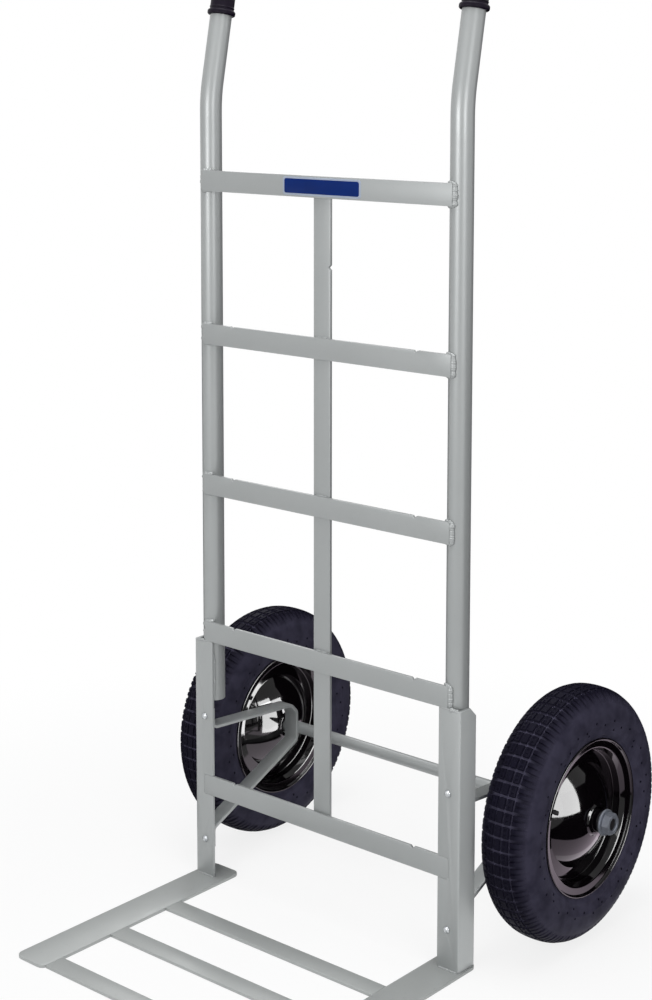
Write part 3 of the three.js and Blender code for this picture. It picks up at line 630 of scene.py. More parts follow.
def bevelled_copy(node, width=BAR_BEVEL):
    """Copies a solid, merges its facets and rounds its edges. The width is in millimetres."""
    source = frame["nodes"][node].data

    def build(work):
        work.from_mesh(source)
        bmesh.ops.remove_doubles(work, verts=work.verts, dist=2e-6)
        bmesh.ops.dissolve_limit(work, angle_limit=math.radians(1.0), verts=work.verts, edges=work.edges)
        edges = [edge for edge in work.edges if edge.is_manifold]
        corners = [edge for edge in edges if edge.calc_face_angle() > LEAST_CORNER]
        bmesh.ops.bevel(
            work, geom=corners, offset=width * MM, segments=3, profile=0.5, affect="EDGES",
            clamp_overlap=True,
        )

    return mesh_piece(node + "_steel", build, sharp_degrees=30.0)


crossbar_nodes = ["crossbar_top", "crossbar_second", "crossbar_third", "crossbar_fourth", "crossbar_low"]
bar_nodes = crossbar_nodes + ["centre_bar"]
foot_nodes = [side + part for side in side_sign for part in ("_foot_angle", "_axle_bracket")]
toe_nodes = ["toe_bar_rear", "toe_bar_middle", "toe_bar_front"]
toe_nodes += [side + "_toe_side_plate" for side in side_sign]
for node in bar_nodes + foot_nodes:
    flat_piece = dress(bevelled_copy(node), "frame", "frame_paint", frame_paint, [node])
    if node in foot_nodes:
        feet_lit.objects.link(flat_piece)
# The toe plate's lighter paint is painted light from above.
for node in toe_nodes:
    dress(bevelled_copy(node, TOE_BEVEL), "frame", "toe_paint", toe_paint, [node])
print("flat pieces:", len(bar_nodes) + len(foot_nodes) + len(toe_nodes))

# %% [markdown]
# ## Side tubes
#
# Each side of the frame is one length of round tube, bent backwards near the top to make a handle. A
# curve with a round bevel would give such a tube too. Here it is swept ring by ring along its centre line
# instead, so that the rings stand close together only in the bend: a straight run, an arc of 250 mm
# radius through 11 degrees, and a straight grip end. The tube is open below, so the sweep turns round at
# both ends and comes back along the bore.

# %% Sweep a tube along its bend
TUBE_RADIUS, TUBE_WALL, MOUTH_ROUNDING = 16.85, 2.6, 0.4
TUBE_FOOT, TUBE_BEND, BEND_RADIUS = 294.0, 1249.0, 250.0
LEAN = math.radians(11.0)
GRIP_START, GRIP_LENGTH, GRIP_CAP = 125.0, 122.0, 4.0
BAR_THICKNESS, WELD_GAP = 4.8, 0.2
tube_box_low, tube_box_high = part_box("right_side_tube")
tube_x = (tube_box_low.x + tube_box_high.x) / 2
tube_y = front_y + (BAR_THICKNESS + WELD_GAP + TUBE_RADIUS) * MM
lean_direction = Vector((0.0, math.sin(LEAN), math.cos(LEAN)))


def tube_stations(bend_steps=16):
    """Places on the centre line: how far back and how high in millimetres, and how far it leans there."""
    setback = BEND_RADIUS * math.tan(LEAN / 2)
    stations = [(0.0, TUBE_FOOT + rise, 0.0) for rise in (0.0, 0.5, 200.0, 500.0, 800.0)]
    for i in range(bend_steps + 1):
        angle = LEAN * i / bend_steps
        y = BEND_RADIUS * (1 - math.cos(angle))
        z = TUBE_BEND - setback + BEND_RADIUS * math.sin(angle)
        stations.append((y, z, angle))
    end = GRIP_START + GRIP_LENGTH - GRIP_CAP - 0.3
    for along in (60.0, GRIP_START, end - 0.5, end):
        stations.append((along * math.sin(LEAN), TUBE_BEND + along * math.cos(LEAN), LEAN))
    return stations


def sweep_tube(x, sides=72):
    """Rings of points up the outside of a tube and down its bore. Its two mouths are rounded a little."""
    def ring(y, z, angle, radius):
        across = Vector((1.0, 0.0, 0.0))
        back = Vector((0.0, math.cos(angle), -math.sin(angle)))
        middle = Vector((x, tube_y + y * MM, z * MM))
        turns = [2 * math.pi * k / sides for k in range(sides)]
        return [middle + (across * math.cos(t) + back * math.sin(t)) * radius * MM for t in turns]

    stations = tube_stations()
    radii = [TUBE_RADIUS] * len(stations)
    radii[0] = radii[-1] = TUBE_RADIUS - MOUTH_ROUNDING
    outer = [ring(y, z, lean, radius) for (y, z, lean), radius in zip(stations, radii)]
    inner = [ring(y, z, lean, TUBE_RADIUS - TUBE_WALL) for y, z, lean in reversed(stations)]
    return outer + inner


for side, sign in side_sign.items():
    rows = sweep_tube(sign * tube_x)
    tube = mesh_piece(side + "_side_tube_steel", lambda work: grid_faces(work, rows, True, True))
    dress(tube, "frame", "frame_paint", frame_paint, [side + "_side_tube"])
    print(tube.name, "is", round(tube.dimensions.z, 3), "m tall")

# %% [markdown]
# ## Turned pieces
#
# Grips, washers, bushes, collars and rims are all round about one line. Each is a closed outline of
# radius and distance, turned about that line. A screw modifier could turn it as well, but this helper
# takes any line, such as that of a leaning handle. Sharp corners of the outline are first replaced by
# small arcs, because a machined or moulded corner always has one.

# %% Turn an outline about a line
def rounded_outline(points, radius=0.4, steps=3):
    """Rounds each corner of a closed outline. A corner may carry its own radius as a third number."""
    result = []
    count = len(points)
    for i in range(count):
        here = Vector(points[i][:2])
        before = Vector(points[i - 1][:2]) - here
        after = Vector(points[(i + 1) % count][:2]) - here
        own = points[i][2] if len(points[i]) > 2 else radius
        bend = math.pi - before.angle(after)
        room = 0.45 * min(before.length, after.length)
        setback = min(own * math.tan(bend / 2), room) if bend < 3.0 else room
        if here.x < 1e-6 or setback < 1e-3:
            result.append(here)
            continue
        start = here + before.normalized() * setback
        end = here + after.normalized() * setback
        for k in range(steps + 1):
            t = k / steps
            result.append((1 - t) ** 2 * start + 2 * t * (1 - t) * here + t * t * end)
    return result


def spokes_round(direction, sides):
    """The unit direction of a line, and unit spokes that stand out from it all round."""
    along = Vector(direction).normalized()
    helper = Vector((0.0, 0.0, 1.0)) if abs(along.z) < 0.9 else Vector((1.0, 0.0, 0.0))
    first = along.cross(helper).normalized()
    second = along.cross(first)
    turns = [2 * math.pi * k / sides for k in range(sides)]
    return along, [first * math.cos(turn) + second * math.sin(turn) for turn in turns]


def turned_rows(outline, origin, direction, sides):
    """Rings of points for an outline of (radius, distance) in millimetres, turned about a line."""
    along, spokes = spokes_round(direction, sides)
    rows = []
    for point in outline:
        middle = Vector(origin) + along * (point[1] * MM)
        rows.append([middle + spoke * (point[0] * MM) for spoke in spokes])
    return rows


def ring_outline(inner, outer, start, end):
    """A plain ring: its two radii, and where along the line it starts and ends."""
    return [(inner, start), (outer, start), (outer, end), (inner, end)]


def turned(name, outline, origin, direction, sides=72):
    rows = turned_rows(outline, origin, direction, sides)
    return mesh_piece(name, lambda work: grid_faces(work, rows, True, True))


print("turning helpers are ready")

# %% [markdown]
# ## Grips
#
# The grips are soft plastic sleeves pushed over the tube ends. Each starts with a thick round bead at its
# mouth, has one thin rib above it, and ends in a rounded cap. Fine grooves round the body give the hand
# hold.

# %% Turn the grips
def grip_outline():
    """From the bore round the bead, over the rib and the grooves of the body to the cap."""
    bore = TUBE_RADIUS + 0.3
    body = bore + 1.4
    bead = body + 3.0
    cap_start = GRIP_LENGTH - GRIP_CAP
    first_groove, last_groove, groove_step = 24, int(GRIP_LENGTH) - 16, 6
    outline = [(bore, 0.0), (bead - 1.5, 0.0, 1.5), (bead, 1.9, 2.5)]
    outline += [(bead, 6.1, 2.5), (bead - 1.5, 8.0, 1.5)]
    outline += [(body, 8.3, 0.5), (body, 10.7, 0.8), (body + 0.8, 12.0, 1.0), (body, 13.3, 0.8)]
    for place in range(first_groove, last_groove, groove_step):
        outline += [(body, place, 0.3), (body - 0.4, place + 0.6, 0.3), (body, place + 1.2, 0.3)]
    outline += [(body, GRIP_LENGTH - 0.2, 5.0), (body - 9.0, GRIP_LENGTH, 3.0), (0.0, GRIP_LENGTH)]
    return rounded_outline(outline + [(0.0, cap_start), (bore, cap_start)], 0.4)


for side, sign in side_sign.items():
    origin = Vector((sign * tube_x, tube_y, TUBE_BEND * MM)) + lean_direction * (GRIP_START * MM)
    grip = turned(side + "_grip_sleeve", grip_outline(), origin, lean_direction, 96)
    dress(grip, "frame", "grip_plastic", grip_plastic, [side + "_grip"])
    print(grip.name, "reaches", round(grip.dimensions.z, 3), "m")

# %% [markdown]
# ## Tyres
#
# A barrow tyre has a round carcass and a tread of small blocks, 60 to the turn: one row along the middle,
# one on each side of it whose blocks carry two dimples, and one on each shoulder whose blocks have a tick
# across their middle. The gaps run straight across from row to row. Booleans would be slow and messy
# here. The tyre is one grid instead, and its lines are laid exactly where the blocks begin and end, so
# lifting the right grid points gives crisp blocks with a small round at each edge.

# %% Shape of the carcass
TYRE_RADIUS, LUG_DEPTH, HALF_WIDTH, ROUNDNESS = 190.0, 4.0, 44.0, 2.4
WIDEST_RADIUS, BEAD_RADIUS, BEAD_REACH = 147.0, 117.8, 35.9


def carcass_point(place):
    """Radius and reach of the bare carcass. Places up to 44 are reaches over the tread, others run down."""
    if place <= HALF_WIDTH:
        share = (place / HALF_WIDTH) ** ROUNDNESS
        height = max(1 - share, 0.0) ** (1 / ROUNDNESS)
        return Vector((WIDEST_RADIUS + (TYRE_RADIUS - LUG_DEPTH - WIDEST_RADIUS) * height, place))
    fall = place - HALF_WIDTH
    share = fall / (WIDEST_RADIUS - BEAD_RADIUS)
    return Vector((WIDEST_RADIUS - fall, HALF_WIDTH - (HALF_WIDTH - BEAD_REACH) * share ** 2))


def carcass_normal(place):
    ahead, behind = carcass_point(place + 0.05), carcass_point(max(place - 0.05, 0.0))
    along = (ahead - behind).normalized()
    return Vector((along.y, -along.x))


print("carcass is", 2 * HALF_WIDTH, "mm wide and", 2 * TYRE_RADIUS, "mm across its tread")

# %% [markdown]
# ## Lines of the tread
#
# Each line runs once round the tyre at its own place, which is how far it lies from the middle in
# millimetres. On the tread its second number is the share of a block's full height, and on the side wall,
# where low ridges run round, a height in millimetres. Lines lie close together at the edge of a block, so
# that the step is steep there. The lines across a pitch do the same along the tread.

# %% Lines of the tread grid
PITCHES = 60
MIDDLE, SHOULDER, SIDE = range(3)
DIMPLE = 0.7
middle_lines = [(0.0, 1.0), (3.0, 1.0), (4.4, 1.0), (4.8, 0.8), (5.1, 0.0)]
beside_lines = [(7.2, 0.0), (7.5, 0.8), (7.9, 1.0), (10.4, 1.0), (11.0, DIMPLE), (13.6, DIMPLE)]
beside_lines += [(14.2, 1.0), (16.6, 1.0), (17.0, 0.8), (17.3, 0.0)]
shoulder_lines = [(19.2, 0.0), (19.5, 0.75), (20.0, 0.9), (24.0, 0.85), (28.0, 0.72), (32.0, 0.55)]
shoulder_lines += [(35.0, 0.35), (37.0, 0.0)]
tread_lines = [(place, MIDDLE, rise) for place, rise in middle_lines + beside_lines]
tread_lines += [(place, SHOULDER, rise) for place, rise in shoulder_lines]
side_lines = [(38.2, 0.0), (39.6, 0.0), (40.8, 0.0), (41.8, 0.0), (42.8, 0.0), (43.5, 0.0), (44.0, 0.0)]
side_lines += [(47.0, 0.0), (48.0, 0.35), (49.0, 0.35), (50.0, 0.0), (53.5, 0.0), (57.0, 0.0), (60.5, 0.0)]
side_lines += [(62.0, 0.0), (63.0, 0.7), (65.5, 0.9), (67.5, 0.7), (68.5, 0.0), (71.0, 0.0), (73.2, 0.0)]
pitch_lines = [0.08, 0.105, 0.14, 0.25, 0.36, 0.42, 0.46]
pitch_lines += [round(1.0 - share, 3) for share in reversed(pitch_lines)]


def block_height(row, rise, share):
    """Height of the tread at one line of the grid and one share of a pitch."""
    if row == SIDE:
        return rise
    from_gap = min(share, 1.0 - share)
    gap, tick = (0.11, 0.45) if row == SHOULDER else (0.085, 1.0)
    if from_gap < gap:
        return 0.0
    if from_gap > tick:
        return LUG_DEPTH * rise * 0.45
    if row == MIDDLE and rise == DIMPLE and not 0.2 < from_gap < 0.4:
        rise = 1.0
    return LUG_DEPTH * rise * (0.8 if from_gap < gap + 0.03 else 1.0)


print("grid lines across half the tyre:", len(tread_lines) + len(side_lines))
print("grid lines across a pitch:", len(pitch_lines))

# %% [markdown]
# ## One grid for the whole tyre
#
# The lines are walked from one bead over the crown to the other, and each grid point is lifted along the
# carcass's own normal. A few more lines close the tyre inside, because a tyre is a hollow skin. Each grid
# point also carries a number for the grey on it: most in the grooves near the middle, less further out,
# and a little on the side wall. The grey is dust, and partly painted highlight for light that catches the
# walls of the grooves. A material can read such a number from the mesh.

# %% Build one tyre
INNER_WALL = [(114.6, 31.8), (104.0, 29.5), (102.4, 27.9), (102.4, 16.8), (117.8, 23.0)]
INNER_WALL += [(146.0, 37.0), (166.0, 35.0), (177.0, 24.0), (180.4, 0.0)]


def tyre_lines():
    """Every line of the grid as (place, row, rise, side), from one bead over the crown to the other."""
    half = tread_lines + [(place, SIDE, ridge) for place, ridge in side_lines]
    whole = [(place, row, rise, -1.0) for place, row, rise in reversed(half[1:])]
    return whole + [(place, row, rise, 1.0) for place, row, rise in half]


def ramp(place, start, length):
    """Rises from 0 to 1 over a length of the tyre's outline."""
    return min(max((place - start) / length, 0.0), 1.0)


def dust_share(place, row, height):
    """How much grey, partly dusty and partly painted highlight, lies at a grid point lifted to a height."""
    general = 0.4 * ramp(place, 24.0, 14.0) + 0.08 * ramp(place, HALF_WIDTH, 20.0)
    if row == SIDE or height >= 0.1:
        return general
    return max(general, 0.75 - 0.7 * ramp(place, 18.0, 14.0) ** 0.5)


def build_tyre(work, side):
    centre, sign = wheel_centre[side + "_wheel"], side_sign[side]
    groove_layer = work.verts.layers.float.new("groove")
    turns = [(p + share) / PITCHES * 2 * math.pi for p in range(PITCHES) for share in pitch_lines]
    spokes = [Vector((0.0, math.cos(turn), math.sin(turn))) for turn in turns]
    rows, marks = [], []
    for place, row, rise, flip in tyre_lines():
        base, normal = carcass_point(place), carcass_normal(place)
        heights = [block_height(row, rise, share) for share in pitch_lines] * PITCHES
        points = []
        for spoke, height in zip(spokes, heights):
            radius = base.x + normal.x * height
            reach = (base.y + normal.y * height) * flip
            points.append(centre + Vector((sign * reach * MM, 0.0, 0.0)) + spoke * (radius * MM))
        rows.append(points)
        marks.append([dust_share(place, row, height) for height in heights])
    for radius, reach in INNER_WALL + [(r, -x) for r, x in reversed(INNER_WALL[:-1])]:
        middle = centre + Vector((sign * reach * MM, 0.0, 0.0))
        rows.append([middle + spoke * (radius * MM) for spoke in spokes])
        marks.append([0.0] * len(spokes))
    table = grid_faces(work, rows, True, True)
    for line, mark in zip(table, marks):
        for vertex, value in zip(line, mark):
            vertex[groove_layer] = value


print("grid points per tyre:", len(tyre_lines()) * PITCHES * len(pitch_lines))

# %% [markdown]
# ## Dusty rubber with painted highlight in the grooves
#
# New rubber is nearly black and matte. Where it rolls it is rubbed clean, but grey dust stays in the
# grooves and on the walls. The same grey also stands in for light that catches the walls of the grooves,
# so it is partly painted highlight. The material reads the number that each grid point carries, breaks it
# up with a soft noise, and mixes this grey over the rubber by it.

# %% Rubber that is greyer in the grooves
tyre_rubber = finish_material(
    "block_tread_rubber", linear(16, 14, 30), linear(12, 10, 24), drift_scale=16.0,
    speck=linear(50, 48, 64), speck_scale=380.0, speck_size=0.16, speck_share=0.12,
    roughness=(0.5, 0.66), ior=1.16, bump_mm=0.12, bump_strength=0.5,
    grain_scale=700.0, coarse_scale=120.0, coarse_share=0.4,
)


def grey_grooves(material, dust):
    nodes, links = material.node_tree.nodes, material.node_tree.links
    shader = nodes["Principled BSDF"]
    lines = nodes.new("ShaderNodeAttribute")
    lines.attribute_name = "groove"
    place = nodes.new("ShaderNodeTexCoord")
    cloud = nodes.new("ShaderNodeTexNoise")
    put(cloud, {"Scale": 45.0})
    links.new(place.outputs["Object"], cloud.inputs["Vector"])
    patchy = nodes.new("ShaderNodeMapRange")
    put(patchy, {"From Min": 0.3, "From Max": 0.6, "To Min": 0.55})
    links.new(cloud.outputs["Fac"], patchy.inputs["Value"])
    amount = joined(nodes, links, "MULTIPLY", lines.outputs["Fac"], patchy.outputs["Result"])
    over = nodes.new("ShaderNodeMix")
    over.data_type = "RGBA"
    put(over, {"B": dust})
    links.new(amount, over.inputs["Factor"])
    links.new(nodes["specks_over"].outputs["Result"], over.inputs["A"])
    links.new(over.outputs["Result"], shader.inputs["Base Color"])


# This grey is dust, and partly painted highlight for light that catches the groove walls.
grey_grooves(tyre_rubber, linear(86, 83, 103))
for side in side_sign:
    tyre = mesh_piece(side + "_tyre_tread", lambda work: build_tyre(work, side), 34.0)
    dress(tyre, side + "_wheel", "tyre_rubber", tyre_rubber, [side + "_tyre"])
    print(tyre.name, len(tyre.data.vertices), "points", [round(v, 4) for v in tyre.dimensions])

# %% [markdown]
# ## Moulded marks on the sidewall
#
# A mould lets air out through small vents, and each vent leaves a short rubber nub. Three rings of them
# on both sidewalls are a detail that any real tyre has. They are low domes, sunk a little into the
# rubber.

# %% Vent nubs
NUB_RADIUS, NUB_FLATNESS = 1.8, 0.5
nub_rings = [(52.0, 18, 0.0), (45.5, 18, 0.5), (59.0, 12, 0.25)]


def build_nubs(work, side):
    """Low domes in rings round both sidewalls. A ring is its place, its number of nubs and its offset."""
    centre, sign = wheel_centre[side + "_wheel"], side_sign[side]
    flat = Matrix.Diagonal((1.0, 1.0, NUB_FLATNESS, 1.0))
    for flip in (-1.0, 1.0):
        for place, count, offset in nub_rings:
            base, normal = carcass_point(place), carcass_normal(place)
            for i in range(count):
                turn = 2 * math.pi * (i + offset) / count
                spoke = Vector((0.0, math.cos(turn), math.sin(turn)))
                out = Vector((sign * flip * normal.y, 0.0, 0.0)) + spoke * normal.x
                spot = centre + Vector((sign * flip * base.y * MM, 0.0, 0.0)) + spoke * (base.x * MM)
                facing = out.to_track_quat("Z", "Y").to_matrix().to_4x4()
                matrix = Matrix.Translation(spot) @ facing @ flat
                bmesh.ops.create_icosphere(work, subdivisions=2, radius=NUB_RADIUS * MM, matrix=matrix)


for side in side_sign:
    nubs = mesh_piece(side + "_tyre_vent_nubs", lambda work: build_nubs(work, side))
    dress(nubs, side + "_wheel", "tyre_rubber", tyre_rubber)
print("vent nubs are moulded on both tyres")

# %% [markdown]
# ## Pressed rims
#
# Each wheel has two dished discs, pressed from sheet and bolted back to back by the hub. From its edge
# inwards a disc has a rolled lip, a seat for the tyre's bead, a deep well, and beyond a soft crease a big
# round dome that rises to the hub. The sheet follows one rounded line and is offset to both sides, so it
# has the same thickness everywhere. Under the well, half of a barrel closes the inside of the tyre.

# %% Follow a rounded line with a sheet
def rounded_line(corners, step_degrees=6.0):
    """Points and directions along a line of (radius, reach, corner radius), with an arc at each corner."""
    points = [Vector(corner[:2]) for corner in corners]
    result = [(points[0], (points[1] - points[0]).normalized())]
    for i in range(1, len(points) - 1):
        before = (points[i] - points[i - 1]).normalized()
        after = (points[i + 1] - points[i]).normalized()
        turn = math.atan2(before.x * after.y - before.y * after.x, before.dot(after))
        radius = corners[i][2]
        start = points[i] - before * (radius * math.tan(abs(turn) / 2))
        inward = Vector((-before.y, before.x)) * math.copysign(1.0, turn)
        centre = start + inward * radius
        steps = max(2, int(abs(math.degrees(turn)) / step_degrees))
        for k in range(steps + 1):
            turned_by = Matrix.Rotation(turn * k / steps, 2)
            result.append((centre + turned_by @ (start - centre), turned_by @ before))
    result.append((points[-1], (points[-1] - points[-2]).normalized()))
    return result


def sheet_outline(corners, thickness):
    line = rounded_line(corners)
    upper = [point + Vector((-way.y, way.x)) * thickness / 2 for point, way in line]
    lower = [point - Vector((-way.y, way.x)) * thickness / 2 for point, way in line]
    return upper + lower[::-1]


RIM_SHEET = 1.8
rim_corners = [(116.2, 36.6, 0), (114.4, 33.4, 1.6), (103.6, 32.2, 2.4), (98.8, 25.0, 3.0)]
rim_corners += [(98.0, 12.6, 2.5), (77.5, 15.8, 4.0), (54.5, 37.6, 106.0), (24.0, 44.3, 1.0)]
rim_corners += [(21.6, 47.2, 1.0), (18.3, 47.4, 0)]
rim_outline = sheet_outline(rim_corners, RIM_SHEET)
print("rim outline has", len(rim_outline), "points")

# %% Turn the rims
LIP_RADIUS, LIP_REACH, LIP_ROLL = 116.6, 37.0, 1.5
BARREL_INNER, BARREL_OUTER, BARREL_END, SEAM_GAP = 97.1, 98.9, 12.6, 0.1


def build_rim(work, side, flip):
    """One pressed disc, the roll of its lip, and its half of the barrel under the well."""
    direction = Vector((side_sign[side] * flip, 0.0, 0.0))
    angles = [math.pi * k / 8 for k in range(16)]
    lip = [(LIP_RADIUS + LIP_ROLL * math.cos(a), LIP_REACH + LIP_ROLL * math.sin(a)) for a in angles]
    barrel = ring_outline(BARREL_INNER, BARREL_OUTER, SEAM_GAP, BARREL_END)
    for outline in (rim_outline, lip, barrel):
        rows = turned_rows(outline, wheel_centre[side + "_wheel"], direction, 144)
        grid_faces(work, rows, True, True)


gloss_black = bpy.data.collections.new("gloss_black_rims")
for side in side_sign:
    for half, flip in (("outer", 1.0), ("inner", -1.0)):
        disc = mesh_piece(side + "_rim_" + half + "_disc", lambda work: build_rim(work, side, flip), 40.0)
        dress(disc, side + "_wheel", "rim_paint", rim_paint, [side + "_rim_" + half + "_half"])
        gloss_black.objects.link(disc)
        print(disc.name, "is", round(disc.dimensions.y * 1000, 1), "mm across")

# %% [markdown]
# ## A reflection for the black rims
#
# Gloss black paint shows little but what it mirrors. In the studio a white screen stood beside each
# wheel, and the upper half of each dome carries its bright image, while the lower half mirrors the floor.
# Lamps stand in for the screens and for the lit floor. They are linked to the rims alone and give them no
# matte light, so that they change nothing else in the picture.

# %% Screens and floor cards that only the rims mirror
WHEEL_PLANE = 304.0


def for_rims_alone(lamp):
    lamp.visible_diffuse = False
    lamp.visible_transmission = False
    lamp.light_linking.receiver_collection = gloss_black


for sign in (-1.0, 1.0):
    place, target = (sign * 1.35, 0.05, 0.62), (0.0, 0.05, 0.62)
    for_rims_alone(soft_lamp("outer_rim_screen", place, target, width=0.9, height=1.0, watts=85.0))
    place, target = (sign * -0.15, 0.28, 0.2), (sign * 0.3, 0.28, 0.2)
    for_rims_alone(soft_lamp("inner_rim_screen", place, target, width=0.4, height=0.42, watts=16.0))
    place, target = (sign * WHEEL_PLANE * MM, 0.25, 0.002), (sign * WHEEL_PLANE * MM, 0.25, 1.0)
    card = soft_lamp("rim_floor_card", place, target, width=0.48, height=0.9, watts=2.6)
    card.rotation_euler = (math.pi, 0.0, 0.0)
    card.data.color = (1.0, 0.84, 0.98)
    for_rims_alone(card)

# %% [markdown]
# ## Hub, bushes and washers
#
# The hub is a plain steel sleeve with a nylon bush pushed into each end. Outside it sit a washer and a
# nut on the threaded end of the axle. Inside it a washer runs against a collar, which keeps the wheel off
# the bracket. All of them are turned outlines, because these pieces are made on a lathe and differ only
# in their sizes.

# %% Turn the hub pieces
HUB_RADIUS, HUB_OUTER, HUB_INNER, SLEEVE_BORE = 17.0, 60.0, 38.0, 14.0
AXLE_RADIUS, THREAD_RADIUS, SHAFT_GAP = 9.5, 9.0, 0.3
BUSH_FLANGE, BUSH_LENGTH = 3.0, 22.0
flange_room = BUSH_FLANGE + SHAFT_GAP
sleeve_outline = ring_outline(SLEEVE_BORE, HUB_RADIUS, flange_room - HUB_INNER, HUB_OUTER - flange_room)


def bush_outline(end, inwards):
    """A flanged bush. It starts at the hub's end and runs inwards, which is plus or minus one."""
    bore, neck = AXLE_RADIUS + SHAFT_GAP, SLEEVE_BORE - SHAFT_GAP
    flange_end, bush_end = end + BUSH_FLANGE * inwards, end + BUSH_LENGTH * inwards
    outline = [(bore, end, 0.8), (HUB_RADIUS, end, 0.8), (HUB_RADIUS, flange_end)]
    return outline + [(neck, flange_end), (neck, bush_end), (bore, bush_end)]


def axle_ring(side, part, metal, radii, ends, corner, slot, finish):
    """A washer or collar on the axle. The part names its solid, and the metal ends the piece's name."""
    shaft, outer = radii
    outline = rounded_outline(ring_outline(shaft + SHAFT_GAP, outer, *ends), corner)
    ring = turned(side + part + metal, outline, wheel_centre[side + "_wheel"], (side_sign[side], 0.0, 0.0))
    dress(ring, "frame", slot, finish, [side + part])


for side, sign in side_sign.items():
    centre, direction = wheel_centre[side + "_wheel"], Vector((sign, 0.0, 0.0))
    sleeve = turned(side + "_hub_sleeve_steel", rounded_outline(sleeve_outline, 0.6), centre, direction)
    dress(sleeve, side + "_wheel", "rim_paint", rim_paint, [side + "_hub_sleeve"])
    for half, end, inwards in (("outer", HUB_OUTER, -1.0), ("inner", -HUB_INNER, 1.0)):
        outline = rounded_outline(bush_outline(end, inwards), 0.4)
        bush = turned(side + "_" + half + "_bush_moulding", outline, centre, direction)
        dress(bush, side + "_wheel", "bush_nylon", bush_nylon, [side + "_" + half + "_bush"])
    radii, ends = (THREAD_RADIUS, 19.5), (HUB_OUTER + 0.4, HUB_OUTER + 3.4)
    axle_ring(side, "_outer_washer", "_zinc", radii, ends, 0.7, "zinc", dull_zinc)
    radii, ends = (AXLE_RADIUS, 16.0), (-HUB_INNER - 2.4, -HUB_INNER - 0.4)
    axle_ring(side, "_inner_washer", "_zinc", radii, ends, 0.5, "zinc", zinc_plate)
    radii, ends = (AXLE_RADIUS, 14.0), (253.8 - WHEEL_PLANE, -HUB_INNER - 2.6)
    axle_ring(side, "_spacer_collar", "_steel", radii, ends, 0.8, "frame_paint", frame_paint)
print("hub pieces are turned for both wheels")

# %% [markdown]
# ## Nuts and threads
#
# A nut is a hexagon whose corners are cut back by a cone, which leaves the curved chamfer that every real
# nut shows. It is one grid of points round its axis, and at each angle the chamfer runs from a circle on
# the face down to the hexagon, so the corners fall away furthest. A thread is a grid too: its radius
# follows a wave that moves on as the angle turns, so it is a true helix.

# %% Nuts and threads
def nut_rows(flats, bore, start, height, origin, direction, sides=72):
    """Rows of points round the axis of a nut, from the bore over the chamfers and back."""
    along, spokes = spokes_round(direction, sides)
    lead, face, end = 0.8, flats / 2 * 0.97, start + height
    rows = [[] for _ in range(8)]
    for k, spoke in enumerate(spokes):
        turn = 2 * math.pi * k / sides
        within = (turn + math.pi / 6) % (math.pi / 3) - math.pi / 6
        hexagon = flats / 2 / math.cos(math.pi / 6 - abs(within))
        drop = (hexagon - face) * math.tan(math.radians(30.0))
        outline = [(bore, start + lead), (bore + lead, start), (face, start), (hexagon, start + drop)]
        outline += [(hexagon, end - drop), (face, end), (bore + lead, end), (bore, end - lead)]
        for row, (radius, reach) in zip(rows, outline):
            row.append(Vector(origin) + along * (reach * MM) + spoke * (radius * MM))
    return rows


def thread_rows(radius, start, end, pitch, depth, origin, direction, sides=36, per_pitch=6):
    """Rows of points along a threaded end. Its outermost turns fade, and its end is drilled a little."""
    along, spokes = spokes_round(direction, sides)
    steps = max(4, int((end - start) / pitch * per_pitch))
    rows = [[Vector(origin) + along * (start * MM)] * sides]
    for i in range(steps + 1):
        reach = start + (end - start) * i / steps
        fade = max(min(1.0, (end - reach) / pitch, (reach - start) / pitch), 0.0)
        row = []
        for k, spoke in enumerate(spokes):
            wave = abs(((reach / pitch - k / sides) % 1.0) * 2 - 1)
            here = radius - depth * wave * fade - (1 - fade) * depth * 0.5
            row.append(Vector(origin) + along * (reach * MM) + spoke * (here * MM))
        rows.append(row)
    end_point = Vector(origin) + along * (end * MM)
    end_spokes = [point - end_point for point in rows[-1]]
    for drilled, share in ((0.2, 0.72), (2.6, 0.324), (2.6, 0.0)):
        middle = end_point - along * (drilled * MM)
        rows.append([middle + spoke * share for spoke in end_spokes])
    return rows


def nut(name, flats, bore, start, height, origin, direction):
    rows = nut_rows(flats, bore, start, height, origin, direction)
    return mesh_piece(name, lambda work: grid_faces(work, rows, True, True), 24.0)


print("nut and thread helpers are ready")

# %% [markdown]
# ## The axle
#
# One straight bar runs through both wheels. Its ends are turned down and threaded, and a large nut on
# each keeps the wheel on. The bar is turned as a plain cylinder, and each threaded end is a piece of its
# own, because bare cut steel has another finish than the painted bar. That finish is near black, which is
# painted shade for the recess inside the nut where the end sits.

